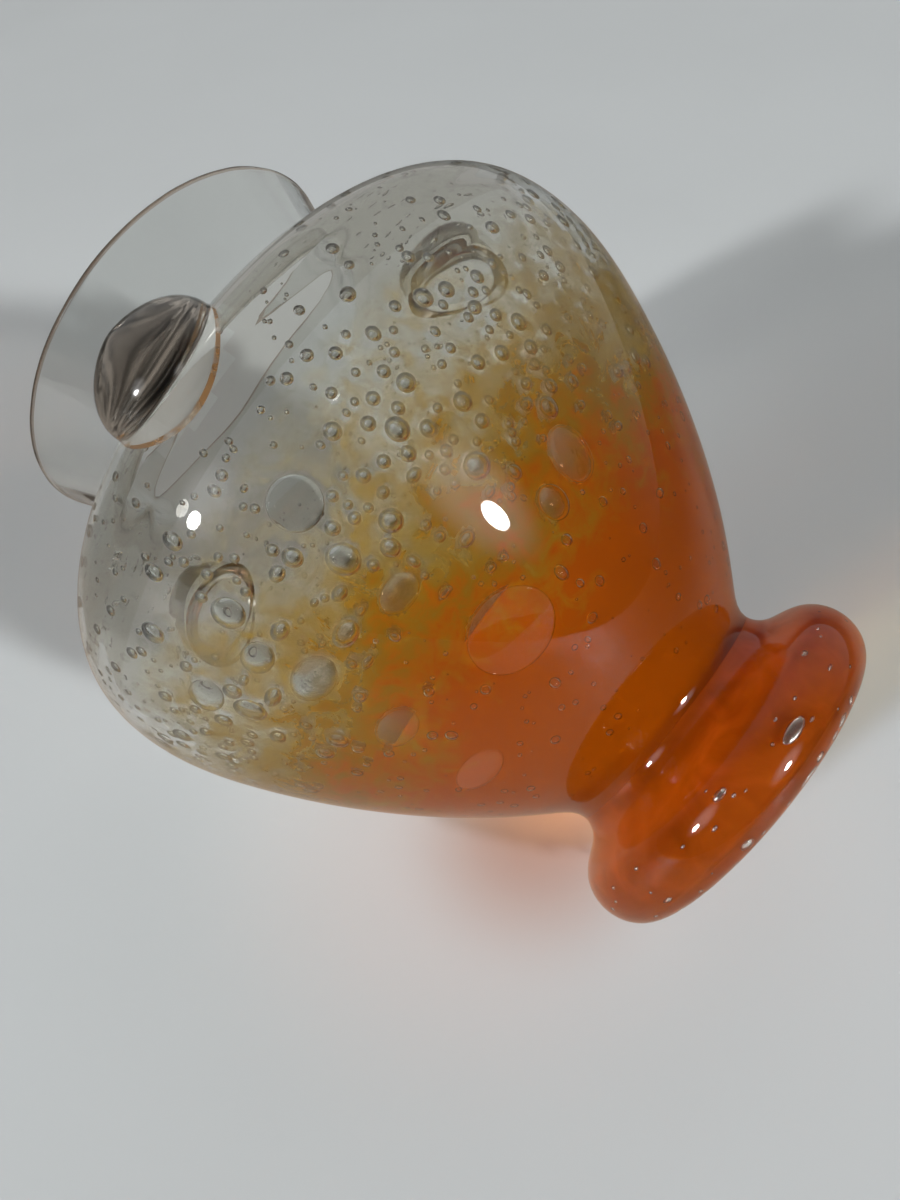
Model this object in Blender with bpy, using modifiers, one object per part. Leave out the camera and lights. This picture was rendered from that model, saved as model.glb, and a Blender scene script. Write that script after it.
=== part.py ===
"""A footed blown-glass vase with a flared collar and three applied knobs on its shoulder.

Units are metres, +Z is up along the axis of the vase, and the origin is the centre of the
flat base of the foot. Knob 1 faces -Y.
"""

import math

import bpy
import numpy as np

# Outside shape, from the base to the lip
FOOT_BASE_RADIUS = 0.0445
FOOT_RADIUS = 0.0561
FOOT_EDGE_HEIGHT = 0.0127
WAIST_RADIUS = 0.0390
WAIST_HEIGHT = 0.0331
SHOULDER_RADIUS = 0.1033
SHOULDER_HEIGHT = 0.1436
NECK_RADIUS = 0.0560
NECK_HEIGHT = 0.2019
LIP_RADIUS = 0.0647
COLLAR_HEIGHT = 0.0281
LIP_HEIGHT = NECK_HEIGHT + COLLAR_HEIGHT

# Where the outside runs between those stations, as (share of the height, share of the radius)
FOOT_UNDER_EDGE_SHARES = (0.232, 0.641)
FOOT_TOP_SHARES = ((0.467, 0.742), (0.789, 0.106))
BODY_SWELL_SHARES = ((0.080, 0.085), (0.245, 0.342), (0.474, 0.617), (0.751, 0.868))
SHOULDER_TURN_SHARES = ((0.436, 0.935), (0.658, 0.695), (0.770, 0.360), (0.868, 0.072))
COLLAR_FLARE_SHARES = (0.444, 0.286)

# Glass thicknesses; the casing thins from the shoulder to the neck
CASING_WALL = 0.0048
CASING_NECK_WALL = 0.0028
COLOUR_WALL = 0.0020
COLLAR_WALL = 0.0028
FOOT_WALL = 0.0022
FOOT_BASE_WALL = 0.0060
CAVITY_FLOOR_HEIGHT = 0.0520
CAVITY_BOWL_DEPTH = 0.0140
# Top of the colour layer, as a share of the way from the shoulder to the neck, and its rounded end
COLOUR_TOP_SHARE = 0.08
COLOUR_CROWN = 0.0010

# Knobs; the dome of each starts level with its seat, and a skirt spreads from there to the shoulder
KNOB_HEIGHT = 0.0136
KNOB_RADIUS = 0.0188
KNOB_ROOT_RADIUS = 0.0212
KNOB_ROOT_DEPTH = 0.0130
# Power of the cosine that draws the dome in; above 1 the dome is pulled to a blunt point
KNOB_PULL = 1.2
# Rows of a knob's skirt, as shares of the depth
KNOB_SKIRT_SHARES = (0.18, 0.42, 0.70, 1.0)
# Each knob's heading in degrees and its seat, as a share of the rise from the shoulder to the neck
KNOB_SEATS = ((0.0, 0.605), (114.0, 0.690), (246.0, 0.690))

# Room left where two gathers meet
JOIN_GAP = 0.0003

# Fineness of the turned surfaces
TURN_STEPS = 48
KNOB_TURN_STEPS = 32
ROWS_PER_SPAN = 2
BOWL_ROWS = 5
LIP_ROWS = 5
DOME_ROWS = 8
SEARCH_PLACES = 200

# Glass colours, linear
CLEAR_GLASS = (0.93, 0.95, 0.94, 1.0)
ORANGE_GLASS = (0.62, 0.14, 0.004, 1.0)
KNOB_GLASS = (0.90, 0.90, 0.86, 1.0)


def between(low, high, share):
    """The value that lies this share of the way from low to high."""
    return low + (high - low) * share


def stations():
    """Outside stations as (radius, height) from the base up to the lip, with the index of each landmark."""
    points = [(FOOT_BASE_RADIUS, 0.0)]
    share_up, share_out = FOOT_UNDER_EDGE_SHARES
    points.append((between(FOOT_BASE_RADIUS, FOOT_RADIUS, share_out), FOOT_EDGE_HEIGHT * share_up))
    points.append((FOOT_RADIUS, FOOT_EDGE_HEIGHT))
    for share_up, share_out in FOOT_TOP_SHARES:
        points.append(
            (
                between(WAIST_RADIUS, FOOT_RADIUS, share_out),
                between(FOOT_EDGE_HEIGHT, WAIST_HEIGHT, share_up),
            )
        )
    waist = len(points)
    points.append((WAIST_RADIUS, WAIST_HEIGHT))
    for share_up, share_out in BODY_SWELL_SHARES:
        points.append(
            (
                between(WAIST_RADIUS, SHOULDER_RADIUS, share_out),
                between(WAIST_HEIGHT, SHOULDER_HEIGHT, share_up),
            )
        )
    shoulder = len(points)
    points.append((SHOULDER_RADIUS, SHOULDER_HEIGHT))
    for share_up, share_out in SHOULDER_TURN_SHARES:
        points.append(
            (
                between(NECK_RADIUS, SHOULDER_RADIUS, share_out),
                between(SHOULDER_HEIGHT, NECK_HEIGHT, share_up),
            )
        )
    neck = len(points)
    points.append((NECK_RADIUS, NECK_HEIGHT))
    share_up, share_out = COLLAR_FLARE_SHARES
    points.append(
        (
            between(NECK_RADIUS, LIP_RADIUS, share_out),
            between(NECK_HEIGHT, LIP_HEIGHT, share_up),
        )
    )
    points.append((LIP_RADIUS, LIP_HEIGHT))
    return np.array(points), waist, shoulder, neck


class OutsideCurve:
    """A natural cubic through the stations, measured along the chords between them."""

    def __init__(self, points):
        self.points = points
        self.knots = np.concatenate([[0.0], np.cumsum(np.linalg.norm(np.diff(points, axis=0), axis=1))])
        count = len(points)
        spans = np.diff(self.knots)
        matrix = np.zeros((count, count))
        right = np.zeros((count, 2))
        matrix[0, 0] = 1.0
        matrix[-1, -1] = 1.0
        for index in range(1, count - 1):
            matrix[index, index - 1] = spans[index - 1]
            matrix[index, index] = 2.0 * (spans[index - 1] + spans[index])
            matrix[index, index + 1] = spans[index]
            rise = (points[index + 1] - points[index]) / spans[index]
            fall = (points[index] - points[index - 1]) / spans[index - 1]
            right[index] = 6.0 * (rise - fall)
        self.bend = np.linalg.solve(matrix, right)

    def at(self, along):
        """(point, outward normal) at this distance along the chords."""
        last = len(self.knots) - 2
        span = int(np.clip(np.searchsorted(self.knots, along, side="right") - 1, 0, last))
        width = self.knots[span + 1] - self.knots[span]
        after = (along - self.knots[span]) / width
        before = 1.0 - after
        bend_a = self.bend[span]
        bend_b = self.bend[span + 1]
        point = before * self.points[span] + after * self.points[span + 1]
        point = point + ((before**3 - before) * bend_a + (after**3 - after) * bend_b) * width**2 / 6.0
        slope = (self.points[span + 1] - self.points[span]) / width
        slope = slope - (3 * before**2 - 1) * width * bend_a / 6.0
        slope = slope + (3 * after**2 - 1) * width * bend_b / 6.0
        slope = slope / np.linalg.norm(slope)
        return point, np.array([slope[1], -slope[0]])

    def offset_run(self, start, end, inward, more_stops=()):
        """Points inside the surface by inward(distance along), on even steps from each stop to the next."""
        inner_stops = sorted(stop for stop in (*self.knots, *more_stops) if start < stop < end)
        stops = [start, *inner_stops, end]
        places = []
        for low, high in zip(stops[:-1], stops[1:]):
            places.extend(np.linspace(low, high, ROWS_PER_SPAN, endpoint=False))
        places.append(end)
        run = []
        for along in places:
            point, normal = self.at(along)
            run.append(point - inward(along) * normal)
        return np.array(run)

    def along_at_height(self, low, high, height):
        """The distance between two others at which the surface is this high."""
        places = np.linspace(low, high, SEARCH_PLACES)
        heights = [self.at(along)[0][1] for along in places]
        return float(np.interp(height, heights, places))


def even(depth):
    """The same depth all the way along."""
    return lambda along: depth


def casing_depth(curve, shoulder, neck, extra):
    """Depth of the casing's inner face, with this much more, at each distance along."""
    thins_from = curve.knots[shoulder]
    thins_to = curve.knots[neck]

    def depth(along):
        share = float(np.clip((along - thins_from) / (thins_to - thins_from), 0.0, 1.0))
        return between(CASING_WALL, CASING_NECK_WALL, share) + extra

    return depth


def glass(name, colour):
    """A clear or coloured glass for one piece."""
    material = bpy.data.materials.new(name)
    material.use_nodes = True
    shader = material.node_tree.nodes["Principled BSDF"]
    shader.inputs["Base Color"].default_value = colour
    shader.inputs["Roughness"].default_value = 0.02
    shader.inputs["IOR"].default_value = 1.5
    shader.inputs["Transmission Weight"].default_value = 1.0
    material.diffuse_color = colour
    return material


def turned(name, profile, closed, steps, collection):
    """A profile of (radius, height) points, turned about the Z axis of its own object."""
    mesh = bpy.data.meshes.new(name)
    vertices = [(radius, 0.0, height) for radius, height in profile]
    edges = [(index, index + 1) for index in range(len(vertices) - 1)]
    if closed:
        edges.append((len(vertices) - 1, 0))
    mesh.from_pydata(vertices, edges, [])
    piece = bpy.data.objects.new(name, mesh)
    collection.objects.link(piece)
    screw = piece.modifiers.new("turn", "SCREW")
    screw.axis = "Z"
    screw.angle = 2.0 * math.pi
    screw.steps = steps
    screw.render_steps = steps
    screw.use_merge_vertices = True
    screw.merge_threshold = 0.00001
    screw.use_smooth_shade = True
    return piece


def to_axis(profile, first, last):
    """The profile with its ends brought to the axis at these heights."""
    points = [tuple(point) for point in profile]
    return [(0.0, first), *points, (0.0, last)]


def body_casing_profile(curve, low, high, inner_face, colour_top):
    """Clear outer layer: down the outside, then up the inside, with a row at the top of the colour."""
    outside = curve.offset_run(low, high, even(0.0))[::-1]
    inside = curve.offset_run(low, high, inner_face, (colour_top,))
    return np.concatenate([outside, inside])


def body_colour_profile(curve, low, high, outer_face, inner_face):
    """Orange layer that lines the casing, with the thick floor of the vase."""
    outside = curve.offset_run(low, high, outer_face)[::-1]
    inside = curve.offset_run(low, high, inner_face)
    bowl_top = CAVITY_FLOOR_HEIGHT + CAVITY_BOWL_DEPTH
    inside = inside[inside[:, 1] > bowl_top]
    rim_radius, rim_height = inside[0]
    bowl = []
    for turn in np.linspace(0.0, 0.5 * math.pi, BOWL_ROWS + 1)[1:-1]:
        bowl.append(
            (
                rim_radius * math.sin(turn),
                rim_height - (rim_height - CAVITY_FLOOR_HEIGHT) * math.cos(turn),
            )
        )
    top_out = outside[0]
    top_in = inside[-1]
    upward = outside[0] - outside[1]
    crown = 0.5 * (top_out + top_in) + COLOUR_CROWN * upward / np.linalg.norm(upward)
    floor_height = outside[-1][1]
    points = [(0.0, CAVITY_FLOOR_HEIGHT), *bowl, *map(tuple, inside), tuple(crown)]
    points = points + [*map(tuple, outside), (0.0, floor_height)]
    return points


def foot_casing_profile(curve, high):
    """Clear outer layer of the foot, a cup that is open at the waist."""
    outside = curve.offset_run(0.0, high, even(0.0))[::-1]
    inside = curve.offset_run(0.0, high, even(FOOT_WALL))
    inside = inside[inside[:, 1] > FOOT_BASE_WALL + JOIN_GAP]
    corner = (inside[0][0], FOOT_BASE_WALL)
    points = [(0.0, FOOT_BASE_WALL), corner, *map(tuple, inside)]
    points = points + [*map(tuple, outside), (0.0, 0.0)]
    return points


def foot_core_profile(curve, high):
    """Orange glass that fills the cup of the foot."""
    outside = curve.offset_run(0.0, high, even(FOOT_WALL + JOIN_GAP))[::-1]
    outside = outside[outside[:, 1] > FOOT_BASE_WALL + 2.0 * JOIN_GAP]
    floor = FOOT_BASE_WALL + JOIN_GAP
    profile = [*map(tuple, outside), (outside[-1][0], floor)]
    return to_axis(profile, outside[0][1], floor)


def collar_profile(curve, low, high):
    """Clear neck and flared mouth, with a round lip."""
    outside = curve.offset_run(low, high, even(0.0))[::-1]
    inside = curve.offset_run(low, high, even(COLLAR_WALL))
    centre = 0.5 * (outside[0] + inside[-1])
    across = outside[0] - centre
    along = np.array([-across[1], across[0]])
    lip = []
    for turn in np.linspace(math.pi, 0.0, LIP_ROWS + 1)[1:-1]:
        lip.append(centre + across * math.cos(turn) + along * math.sin(turn))
    return np.concatenate([outside, inside, np.array(lip)])


def knob_profile():
    """A blunt dome on a skirt that spreads where it joins the shoulder."""
    points = [(0.0, KNOB_HEIGHT)]
    for turn in np.linspace(0.0, 0.5 * math.pi, DOME_ROWS + 1)[1:]:
        points.append((KNOB_RADIUS * math.sin(turn) ** KNOB_PULL, KNOB_HEIGHT * math.cos(turn)))
    for share in KNOB_SKIRT_SHARES:
        radius = between(KNOB_RADIUS, KNOB_ROOT_RADIUS, math.sin(0.5 * math.pi * share))
        points.append((radius, -KNOB_ROOT_DEPTH * share))
    points.append((0.0, -KNOB_ROOT_DEPTH))
    return points


def clear_scene():
    """Removes whatever the scene starts with."""
    for item in list(bpy.data.objects):
        bpy.data.objects.remove(item)


def main():
    clear_scene()
    scene = bpy.context.scene
    vase = bpy.data.collections.new("footed_glass_vase")
    cutters = bpy.data.collections.new("cutters")
    scene.collection.children.link(vase)
    scene.collection.children.link(cutters)
    cutters.hide_render = True

    points, waist, shoulder, neck = stations()
    curve = OutsideCurve(points)
    half_gap = 0.5 * JOIN_GAP
    waist_low = curve.knots[waist] - half_gap
    waist_high = curve.knots[waist] + half_gap
    neck_low = curve.knots[neck] - half_gap
    neck_high = curve.knots[neck] + half_gap
    colour_top = between(curve.knots[shoulder], curve.knots[neck], COLOUR_TOP_SHARE)

    # The casing and the collar are closed rings; the others reach the axis
    casing_inside = casing_depth(curve, shoulder, neck, 0.0)
    profile = body_casing_profile(curve, waist_high, neck_low, casing_inside, colour_top)
    casing = turned("body_casing", profile, True, TURN_STEPS, vase)
    casing.data.materials.append(glass("clear casing glass", CLEAR_GLASS))
    colour_outside = casing_depth(curve, shoulder, neck, JOIN_GAP)
    colour_inside = casing_depth(curve, shoulder, neck, JOIN_GAP + COLOUR_WALL)
    profile = body_colour_profile(curve, waist_high, colour_top, colour_outside, colour_inside)
    colour = turned("body_colour_layer", profile, False, TURN_STEPS, vase)
    colour.data.materials.append(glass("orange body glass", ORANGE_GLASS))
    profile = foot_casing_profile(curve, waist_low)
    foot = turned("foot_casing", profile, False, TURN_STEPS, vase)
    foot.data.materials.append(glass("clear foot glass", CLEAR_GLASS))
    profile = foot_core_profile(curve, waist_low)
    core = turned("foot_core", profile, False, TURN_STEPS, vase)
    core.data.materials.append(glass("orange foot glass", ORANGE_GLASS))
    profile = collar_profile(curve, neck_high, curve.knots[-1])
    collar = turned("collar", profile, True, TURN_STEPS, vase)
    collar.data.materials.append(glass("clear collar glass", CLEAR_GLASS))

    # Space that the casing takes up, with the gap that each knob keeps from it
    space = curve.offset_run(waist_high, neck_low, even(-JOIN_GAP))[::-1]
    cutter = turned(
        "casing_space", to_axis(space, space[0][1], space[-1][1]), False, TURN_STEPS, cutters
    )
    cutter.hide_render = True
    cutter.display_type = "WIRE"

    for number, (heading, rise) in enumerate(KNOB_SEATS, start=1):
        seat_height = between(SHOULDER_HEIGHT, NECK_HEIGHT, rise)
        seat_along = curve.along_at_height(curve.knots[shoulder], curve.knots[neck], seat_height)
        seat, seat_normal = curve.at(seat_along)
        lean = math.atan2(seat_normal[0], seat_normal[1])
        around = math.radians(heading)
        knob = turned(f"knob_{number}", knob_profile(), False, KNOB_TURN_STEPS, vase)
        knob.rotation_euler = (lean, 0.0, around)
        knob.location = (seat[0] * math.sin(around), -seat[0] * math.cos(around), seat[1])
        seating = knob.modifiers.new("seat on the shoulder", "BOOLEAN")
        seating.operation = "DIFFERENCE"
        seating.solver = "EXACT"
        seating.object = cutter
        knob.data.materials.append(glass(f"clear knob glass {number}", KNOB_GLASS))


main()
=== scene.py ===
"""Looks of a footed blown-glass vase, laid out as a Blender add-on and run as a script.

Units are metres. +Z runs up the axis of the vase from the centre of its base, and knob 1 faces -Y.
"""

import math
import random

import bmesh
import bpy
import numpy as np
from bpy.props import FloatProperty, FloatVectorProperty, IntProperty, PointerProperty
from mathutils import Euler, Matrix, Vector, noise


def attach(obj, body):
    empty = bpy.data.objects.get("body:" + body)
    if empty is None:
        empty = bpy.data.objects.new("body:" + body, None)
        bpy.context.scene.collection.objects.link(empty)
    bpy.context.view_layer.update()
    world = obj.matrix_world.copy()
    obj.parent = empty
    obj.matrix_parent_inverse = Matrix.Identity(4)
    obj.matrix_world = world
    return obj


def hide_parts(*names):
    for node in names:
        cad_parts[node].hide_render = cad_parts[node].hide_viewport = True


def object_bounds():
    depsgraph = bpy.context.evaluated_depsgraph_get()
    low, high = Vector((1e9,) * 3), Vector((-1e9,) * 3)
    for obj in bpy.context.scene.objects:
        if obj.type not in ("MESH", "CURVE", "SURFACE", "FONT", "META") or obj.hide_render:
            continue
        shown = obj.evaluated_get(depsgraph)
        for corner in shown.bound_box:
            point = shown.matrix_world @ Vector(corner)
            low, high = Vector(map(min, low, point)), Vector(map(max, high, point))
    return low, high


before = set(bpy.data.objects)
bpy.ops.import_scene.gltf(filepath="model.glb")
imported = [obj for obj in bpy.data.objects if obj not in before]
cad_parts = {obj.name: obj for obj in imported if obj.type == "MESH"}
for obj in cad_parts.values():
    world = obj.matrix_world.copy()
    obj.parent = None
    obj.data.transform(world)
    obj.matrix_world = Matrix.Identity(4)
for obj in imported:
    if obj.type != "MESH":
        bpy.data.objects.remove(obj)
cad_box = [list(corner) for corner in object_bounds()]

bl_info = {
    "name": "Footed glass vase",
    "version": (1, 0, 0),
    "blender": (4, 5, 0),
    "location": "View3D > Sidebar > Vase",
    "description": "Dresses the packed solids of a footed vase as bubbled blown glass",
    "category": "Add Mesh",
}

# Where the outside runs in each span from base to lip, as (share of the height, share of the radius)
SPAN_SHARES = (
    ((0.232, 0.641),),
    ((0.467, 0.742), (0.789, 0.106)),
    ((0.080, 0.085), (0.245, 0.342), (0.474, 0.617), (0.751, 0.868)),
    ((0.436, 0.935), (0.658, 0.695), (0.770, 0.360), (0.868, 0.072)),
    ((0.444, 0.286),),
)
# Each knob's heading in degrees and its seat, as a share of the rise from the shoulder to the neck
KNOB_SEATS = ((0.0, 0.605), (114.0, 0.690), (246.0, 0.690))

# Bubbles in the picture: across, down, length along the vase and width, in its pixels
SEEN_BUBBLES = (
    (293, 505, 58, 58), (515, 635, 88, 100), (578, 452, 62, 44), (559, 502, 40, 32), (480, 465, 30, 30),
    (255, 663, 34, 40), (203, 701, 36, 44), (312, 685, 44, 60), (343, 562, 38, 34), (392, 522, 27, 26),
    (400, 597, 36, 50), (225, 617, 36, 34), (397, 735, 40, 56), (480, 776, 40, 72), (345, 638, 26, 34),
    (399, 428, 28, 24), (369, 422, 17, 16), (408, 380, 21, 20), (385, 368, 15, 14), (396, 348, 12, 11),
    (374, 396, 16, 15), (400, 406, 16, 14), (355, 399, 10, 9), (332, 430, 20, 19), (431, 427, 20, 18),
    (457, 438, 12, 11), (410, 453, 19, 17), (416, 475, 15, 19), (432, 454, 11, 10), (385, 461, 16, 15),
    (364, 476, 17, 16), (343, 476, 11, 10), (384, 493, 14, 15), (332, 497, 14, 13), (348, 506, 11, 11),
    (369, 509, 12, 11), (332, 530, 18, 17), (270, 553, 15, 14), (275, 577, 17, 20), (339, 597, 16, 21),
    (278, 635, 19, 25), (360, 615, 11, 14), (367, 667, 12, 20), (442, 538, 14, 14), (469, 540, 17, 21),
    (415, 564, 18, 12), (447, 596, 10, 18), (495, 570, 10, 13), (458, 483, 13, 13), (519, 471, 19, 15),
    (486, 419, 17, 16), (553, 405, 25, 20), (556, 383, 17, 14), (540, 361, 14, 12), (482, 359, 17, 15),
    (454, 344, 12, 11), (514, 421, 12, 11), (521, 440, 11, 11), (481, 440, 10, 10), (494, 492, 10, 14),
    (516, 496, 12, 10), (566, 574, 21, 14), (605, 582, 14, 11), (597, 620, 12, 14), (578, 378, 16, 13),
    (305, 351, 14, 14), (284, 375, 14, 14), (286, 339, 9, 8), (335, 349, 15, 14), (257, 407, 9, 9),
    (217, 475, 14, 13), (221, 457, 9, 9), (240, 489, 8, 10), (215, 530, 8, 8), (241, 686, 11, 16),
    (271, 702, 17, 27), (313, 607, 9, 11), (299, 626, 8, 8), (321, 649, 8, 11),
)
# Picture size and focal length in its pixels, with the lens in its middle, and the sensor's height in mm
PICTURE = (900.0, 1200.0)
FOCAL_PIXELS = 900.0
SENSOR = 36.0
# Steps along a line of sight, and halvings that end a search along it or for a knob's seat
SIGHT_STEP = 0.001
SIGHT_STEPS = 500
SIGHT_HALVINGS = 20
SEAT_HALVINGS = 30

# Distance between rows of the meshes, faces round each, and rows of the rounded parts
ROW = 0.0024
CLOSE_ROW = 0.0012
FILM_ROW = 0.0009
BODY_FACES = 144
FILM_FACES = 384
COLLAR_FACES = 160
KNOB_FACES = 96
KNOB_ROWS = 12
BOWL_ROWS = 16
FILM_BOWL_ROWS = 12
LIP_ROWS = 12
SURFACE_ROWS = 400
ON_AXIS = 1e-7
JOINT_ROW = 0.00005
JOINT_SPACE = 0.00001
# Material slots: of the body, whose first three serve the foot too, of collar and knobs, and of the film
WALL, JOIN, HOLLOW, KNOB_EDGE, LINING, FLAT_HOLLOW = range(6)
LIP_EDGE = 2
STAINED = 2
CLOUDY, DENSE = range(2)

# Low ridge inside, above the colour: height, half width and distance from the colour's edge
EDGE_RIDGE = 0.0005
EDGE_WIDTH = 0.0045
EDGE_ABOVE = 0.0120
# How far below and above the colour's edge the lining thins out, and how far the close rows reach
THINS_BELOW = 0.010
THINS_ABOVE = 0.045
CLOSE_BELOW = 0.008
CLOSE_ABOVE = 0.018
# Distances from the neck, the waist and a knob over which the waves and the cords set in
NECK_CALM = (0.004, 0.030)
WAIST_CALM = (0.002, 0.012)
KNOB_CALM_OUTSIDE = (0.001, 0.008)
KNOB_CALM_INSIDE = (0.0, 0.015)
COLLAR_CALM = (0.001, 0.012)
# Band inside that wanders up and down, above the colour's edge, and the (fineness, share) of its wander
WANDER_ABOVE = 0.010
WANDER_WIDTH = 0.012
WANDERS = ((3.0, 1.0), (8.0, 0.2))
# The (fineness, share) of the collar's cords, and how fast they change along it
CORDS = ((4.0, 1.0), (9.0, 0.5))
CORD_LEAN = 0.4
# Share of a knob's foot at which its stain starts
STAIN_FROM = 0.93

# Bubbles in the body: deepest place, and the least glass over a shallow and over a deep one
BUBBLE_DEPTH = 0.0044
SHALLOW_COVER = 0.0006
DEEP_COVER = 0.0007
# Widths between which a bubble goes flat, how thick a flat one is, and how round and deep seen ones are
FLAT_WIDTHS = (0.006, 0.012)
FLAT_THICKNESS = 0.0014
SEEN_ROUND = 0.8
SEEN_RISE = 0.4
# The scatter: room at its ends, how it crowds between waist and neck, and how its sizes spread
END_ROOM = 0.010
CROWD_LEAST = 0.25
CROWD_AT = 0.52
CROWD_WIDTH = 0.16
WIDTH_SPREAD = 0.55
LARGE_FROM = 0.38
LARGE_TO = 0.70
SMALL_SHARE = 0.6
SMALL_MOST = 0.0030
THICK_SHARES = (0.7, 1.0)
STRETCHES = (0.95, 1.30)
SCATTER_RISE = 0.3
ROOM_BETWEEN = 0.55
# How finely bubbles over one width and up to another are drawn, and from which fineness they are flat
FINENESS = ((4, 0.0080, 1.0), (3, 0.0042, 0.0080), (2, 0.0017, 0.0042), (1, 0.0, 0.0017))
FLAT_FINENESS = 4
# Gaps in the foot: share that lies low, then for low and high ones the range along the outside, the common
# width, the most stretch and the thickness, and for all of them spread, most width, cover and room
FOOT_LOW_SHARE = 0.6
FOOT_LOW = (0.0020, 0.0110, 0.0021, 2.4, 0.0014)
FOOT_HIGH = (0.0110, 0.0260, 0.0011, 2.6, 0.0012)
FOOT_SPREAD = 0.40
FOOT_MOST = 0.0036
FOOT_COVER = 0.0004
FOOT_ROOM = 0.0030
FOOT_FINENESS = 3

# The film of colour: its back and floor as shares of the layer, and the height under which it is dense
FILM_BACK = 0.6
FILM_FLOOR = 0.4
DENSE_BELOW = 0.088
# Bubbles that push the film aside: least width, most distance from it, edge, fade and share taken away
PUSH_WIDTH = 0.0018
PUSH_NEAR = 0.006
PUSH_EDGE = 1.10
PUSH_FADE = 0.2
PUSH_SHARE = 0.5
# Heights between which the film goes from dense to wisps, and over which its edge fades
WISP_HEIGHTS = (0.095, 0.150)
EDGE_HEIGHTS = (0.145, 0.1505)
# What clouds and wisps add to that rise, and the range of the sum from closed to bare
CLOUD_SHARE = 1.1
WISP_SHARE = 1.3
FILM_RANGE = (0.8, 2.3)
# How far the film covers, as (share of that range, cover)
FILM_COVER = (
    (0.18, 1.0),
    (0.25, 0.93),
    (0.35, 0.84),
    (0.44, 0.72),
    (0.54, 0.57),
    (0.64, 0.41),
    (0.72, 0.27),
    (0.83, 0.13),
    (0.95, 0.04),
)
# Widths of the patterns in mm: clouds and wisps of the film, cords of the foot, breaks of the stain, table
CLOUD_MM = 33.3333
WISP_MM = 8.33333
FOOT_CORD_MM = 16.66667
STAIN_MM = 6.25
TABLE_MM = 166.6667

# What each face of the opal layer, the solid foot, a knob's edge and a stain leaves of a lamp's light
OPAL_SHADE = (0.62, 0.45, 0.36, 1.0)
FOOT_SHADE = (0.76, 0.66, 0.46, 1.0)
KNOB_EDGE_SHADE = (0.93, 0.93, 0.92, 1.0)
STAIN_SHADE = (0.85, 0.78, 0.70, 1.0)
NO_SHADE = (1.0, 1.0, 1.0, 1.0)
# Share of the light that opal glass lets through and spreads, as a layer and as the solid foot
OPAL_GLOW = 0.4
FOOT_GLOW = 0.75
# Share of a lamp's light that goes straight on through each face of the clear glass
BODY_STRAIGHT = 0.90
LINING_STRAIGHT = 0.40
BUBBLE_STRAIGHT = 0.95
FLAT_STRAIGHT = 0.98
SILVER_STRAIGHT = 0.6
COLLAR_STRAIGHT = 0.38
LIP_STRAIGHT = 0.50
KNOB_STRAIGHT = 0.70
# Refractive index of the glass and of flat bubbles, haze of the knobs, and share of silver in a gap
GLASS_BEND = 1.5
FLAT_BEND = 1.30
KNOB_HAZE = 0.08
SILVER_SHARE = 0.55

# Painted light on the table: warm glow spots painted on as emission, and a painted warm shade by the waist:
# height along the vase, distance towards the camera from the line under its axis, reach and strength
PAINTED_GLOW_SPOTS = ((0.070, -0.005, 0.055, 0.45), (0.085, 0.045, 0.120, 0.13))
PAINTED_SHADE_SPOT = (0.064, 0.030, 0.062, 0.75)
# How far out the glass mirrors the table, and how dark the table's faint clouds are
MIRROR_REACH = 0.9
TABLE_CLOUD = 0.93
# Lights: heading from straight beyond the table and height over it, in degrees
LIGHTS = {
    "left lamp": (-133.0, 24.5),
    "right lamp": (131.0, 25.0),
    "left window": (-134.0, 31.0),
    "right window": (132.0, 29.0),
    "back light": (10.0, 50.0),
}
# A lamp's fade, from and to a share of its width, and the strength of its middle
LAMP_FADE = (0.15, 0.50)
LAMP_MIDDLE = 3.0
# Directions between which the room turns pale, as shares of straight away from the camera
PALE_RANGE = (-0.2, 0.7)


def linear(hex_colour):
    """An sRGB hex colour as linear red, green, blue and alpha."""
    channels = []
    for start in (1, 3, 5):
        value = int(hex_colour[start : start + 2], 16) / 255.0
        channels.append(value / 12.92 if value <= 0.04045 else ((value + 0.055) / 1.055) ** 2.4)
    return (*channels, 1.0)


def number(name, description, default, **kind):
    """A number that a user may change."""
    return FloatProperty(name=name, description=description, default=default, **kind)


def length(name, description, default):
    """A length that a user may change."""
    return number(name, description, default, unit="LENGTH", precision=5)


def count(name, description, default):
    """A whole number that a user may change."""
    return IntProperty(name=name, description=description, default=default, min=0)


def colour(name, description, hex_colour):
    """A colour that a user may change."""
    start = linear(hex_colour)
    return FloatVectorProperty(
        name=name, description=description, default=start, size=4, subtype="COLOR", min=0.0, max=1.0
    )


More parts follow.
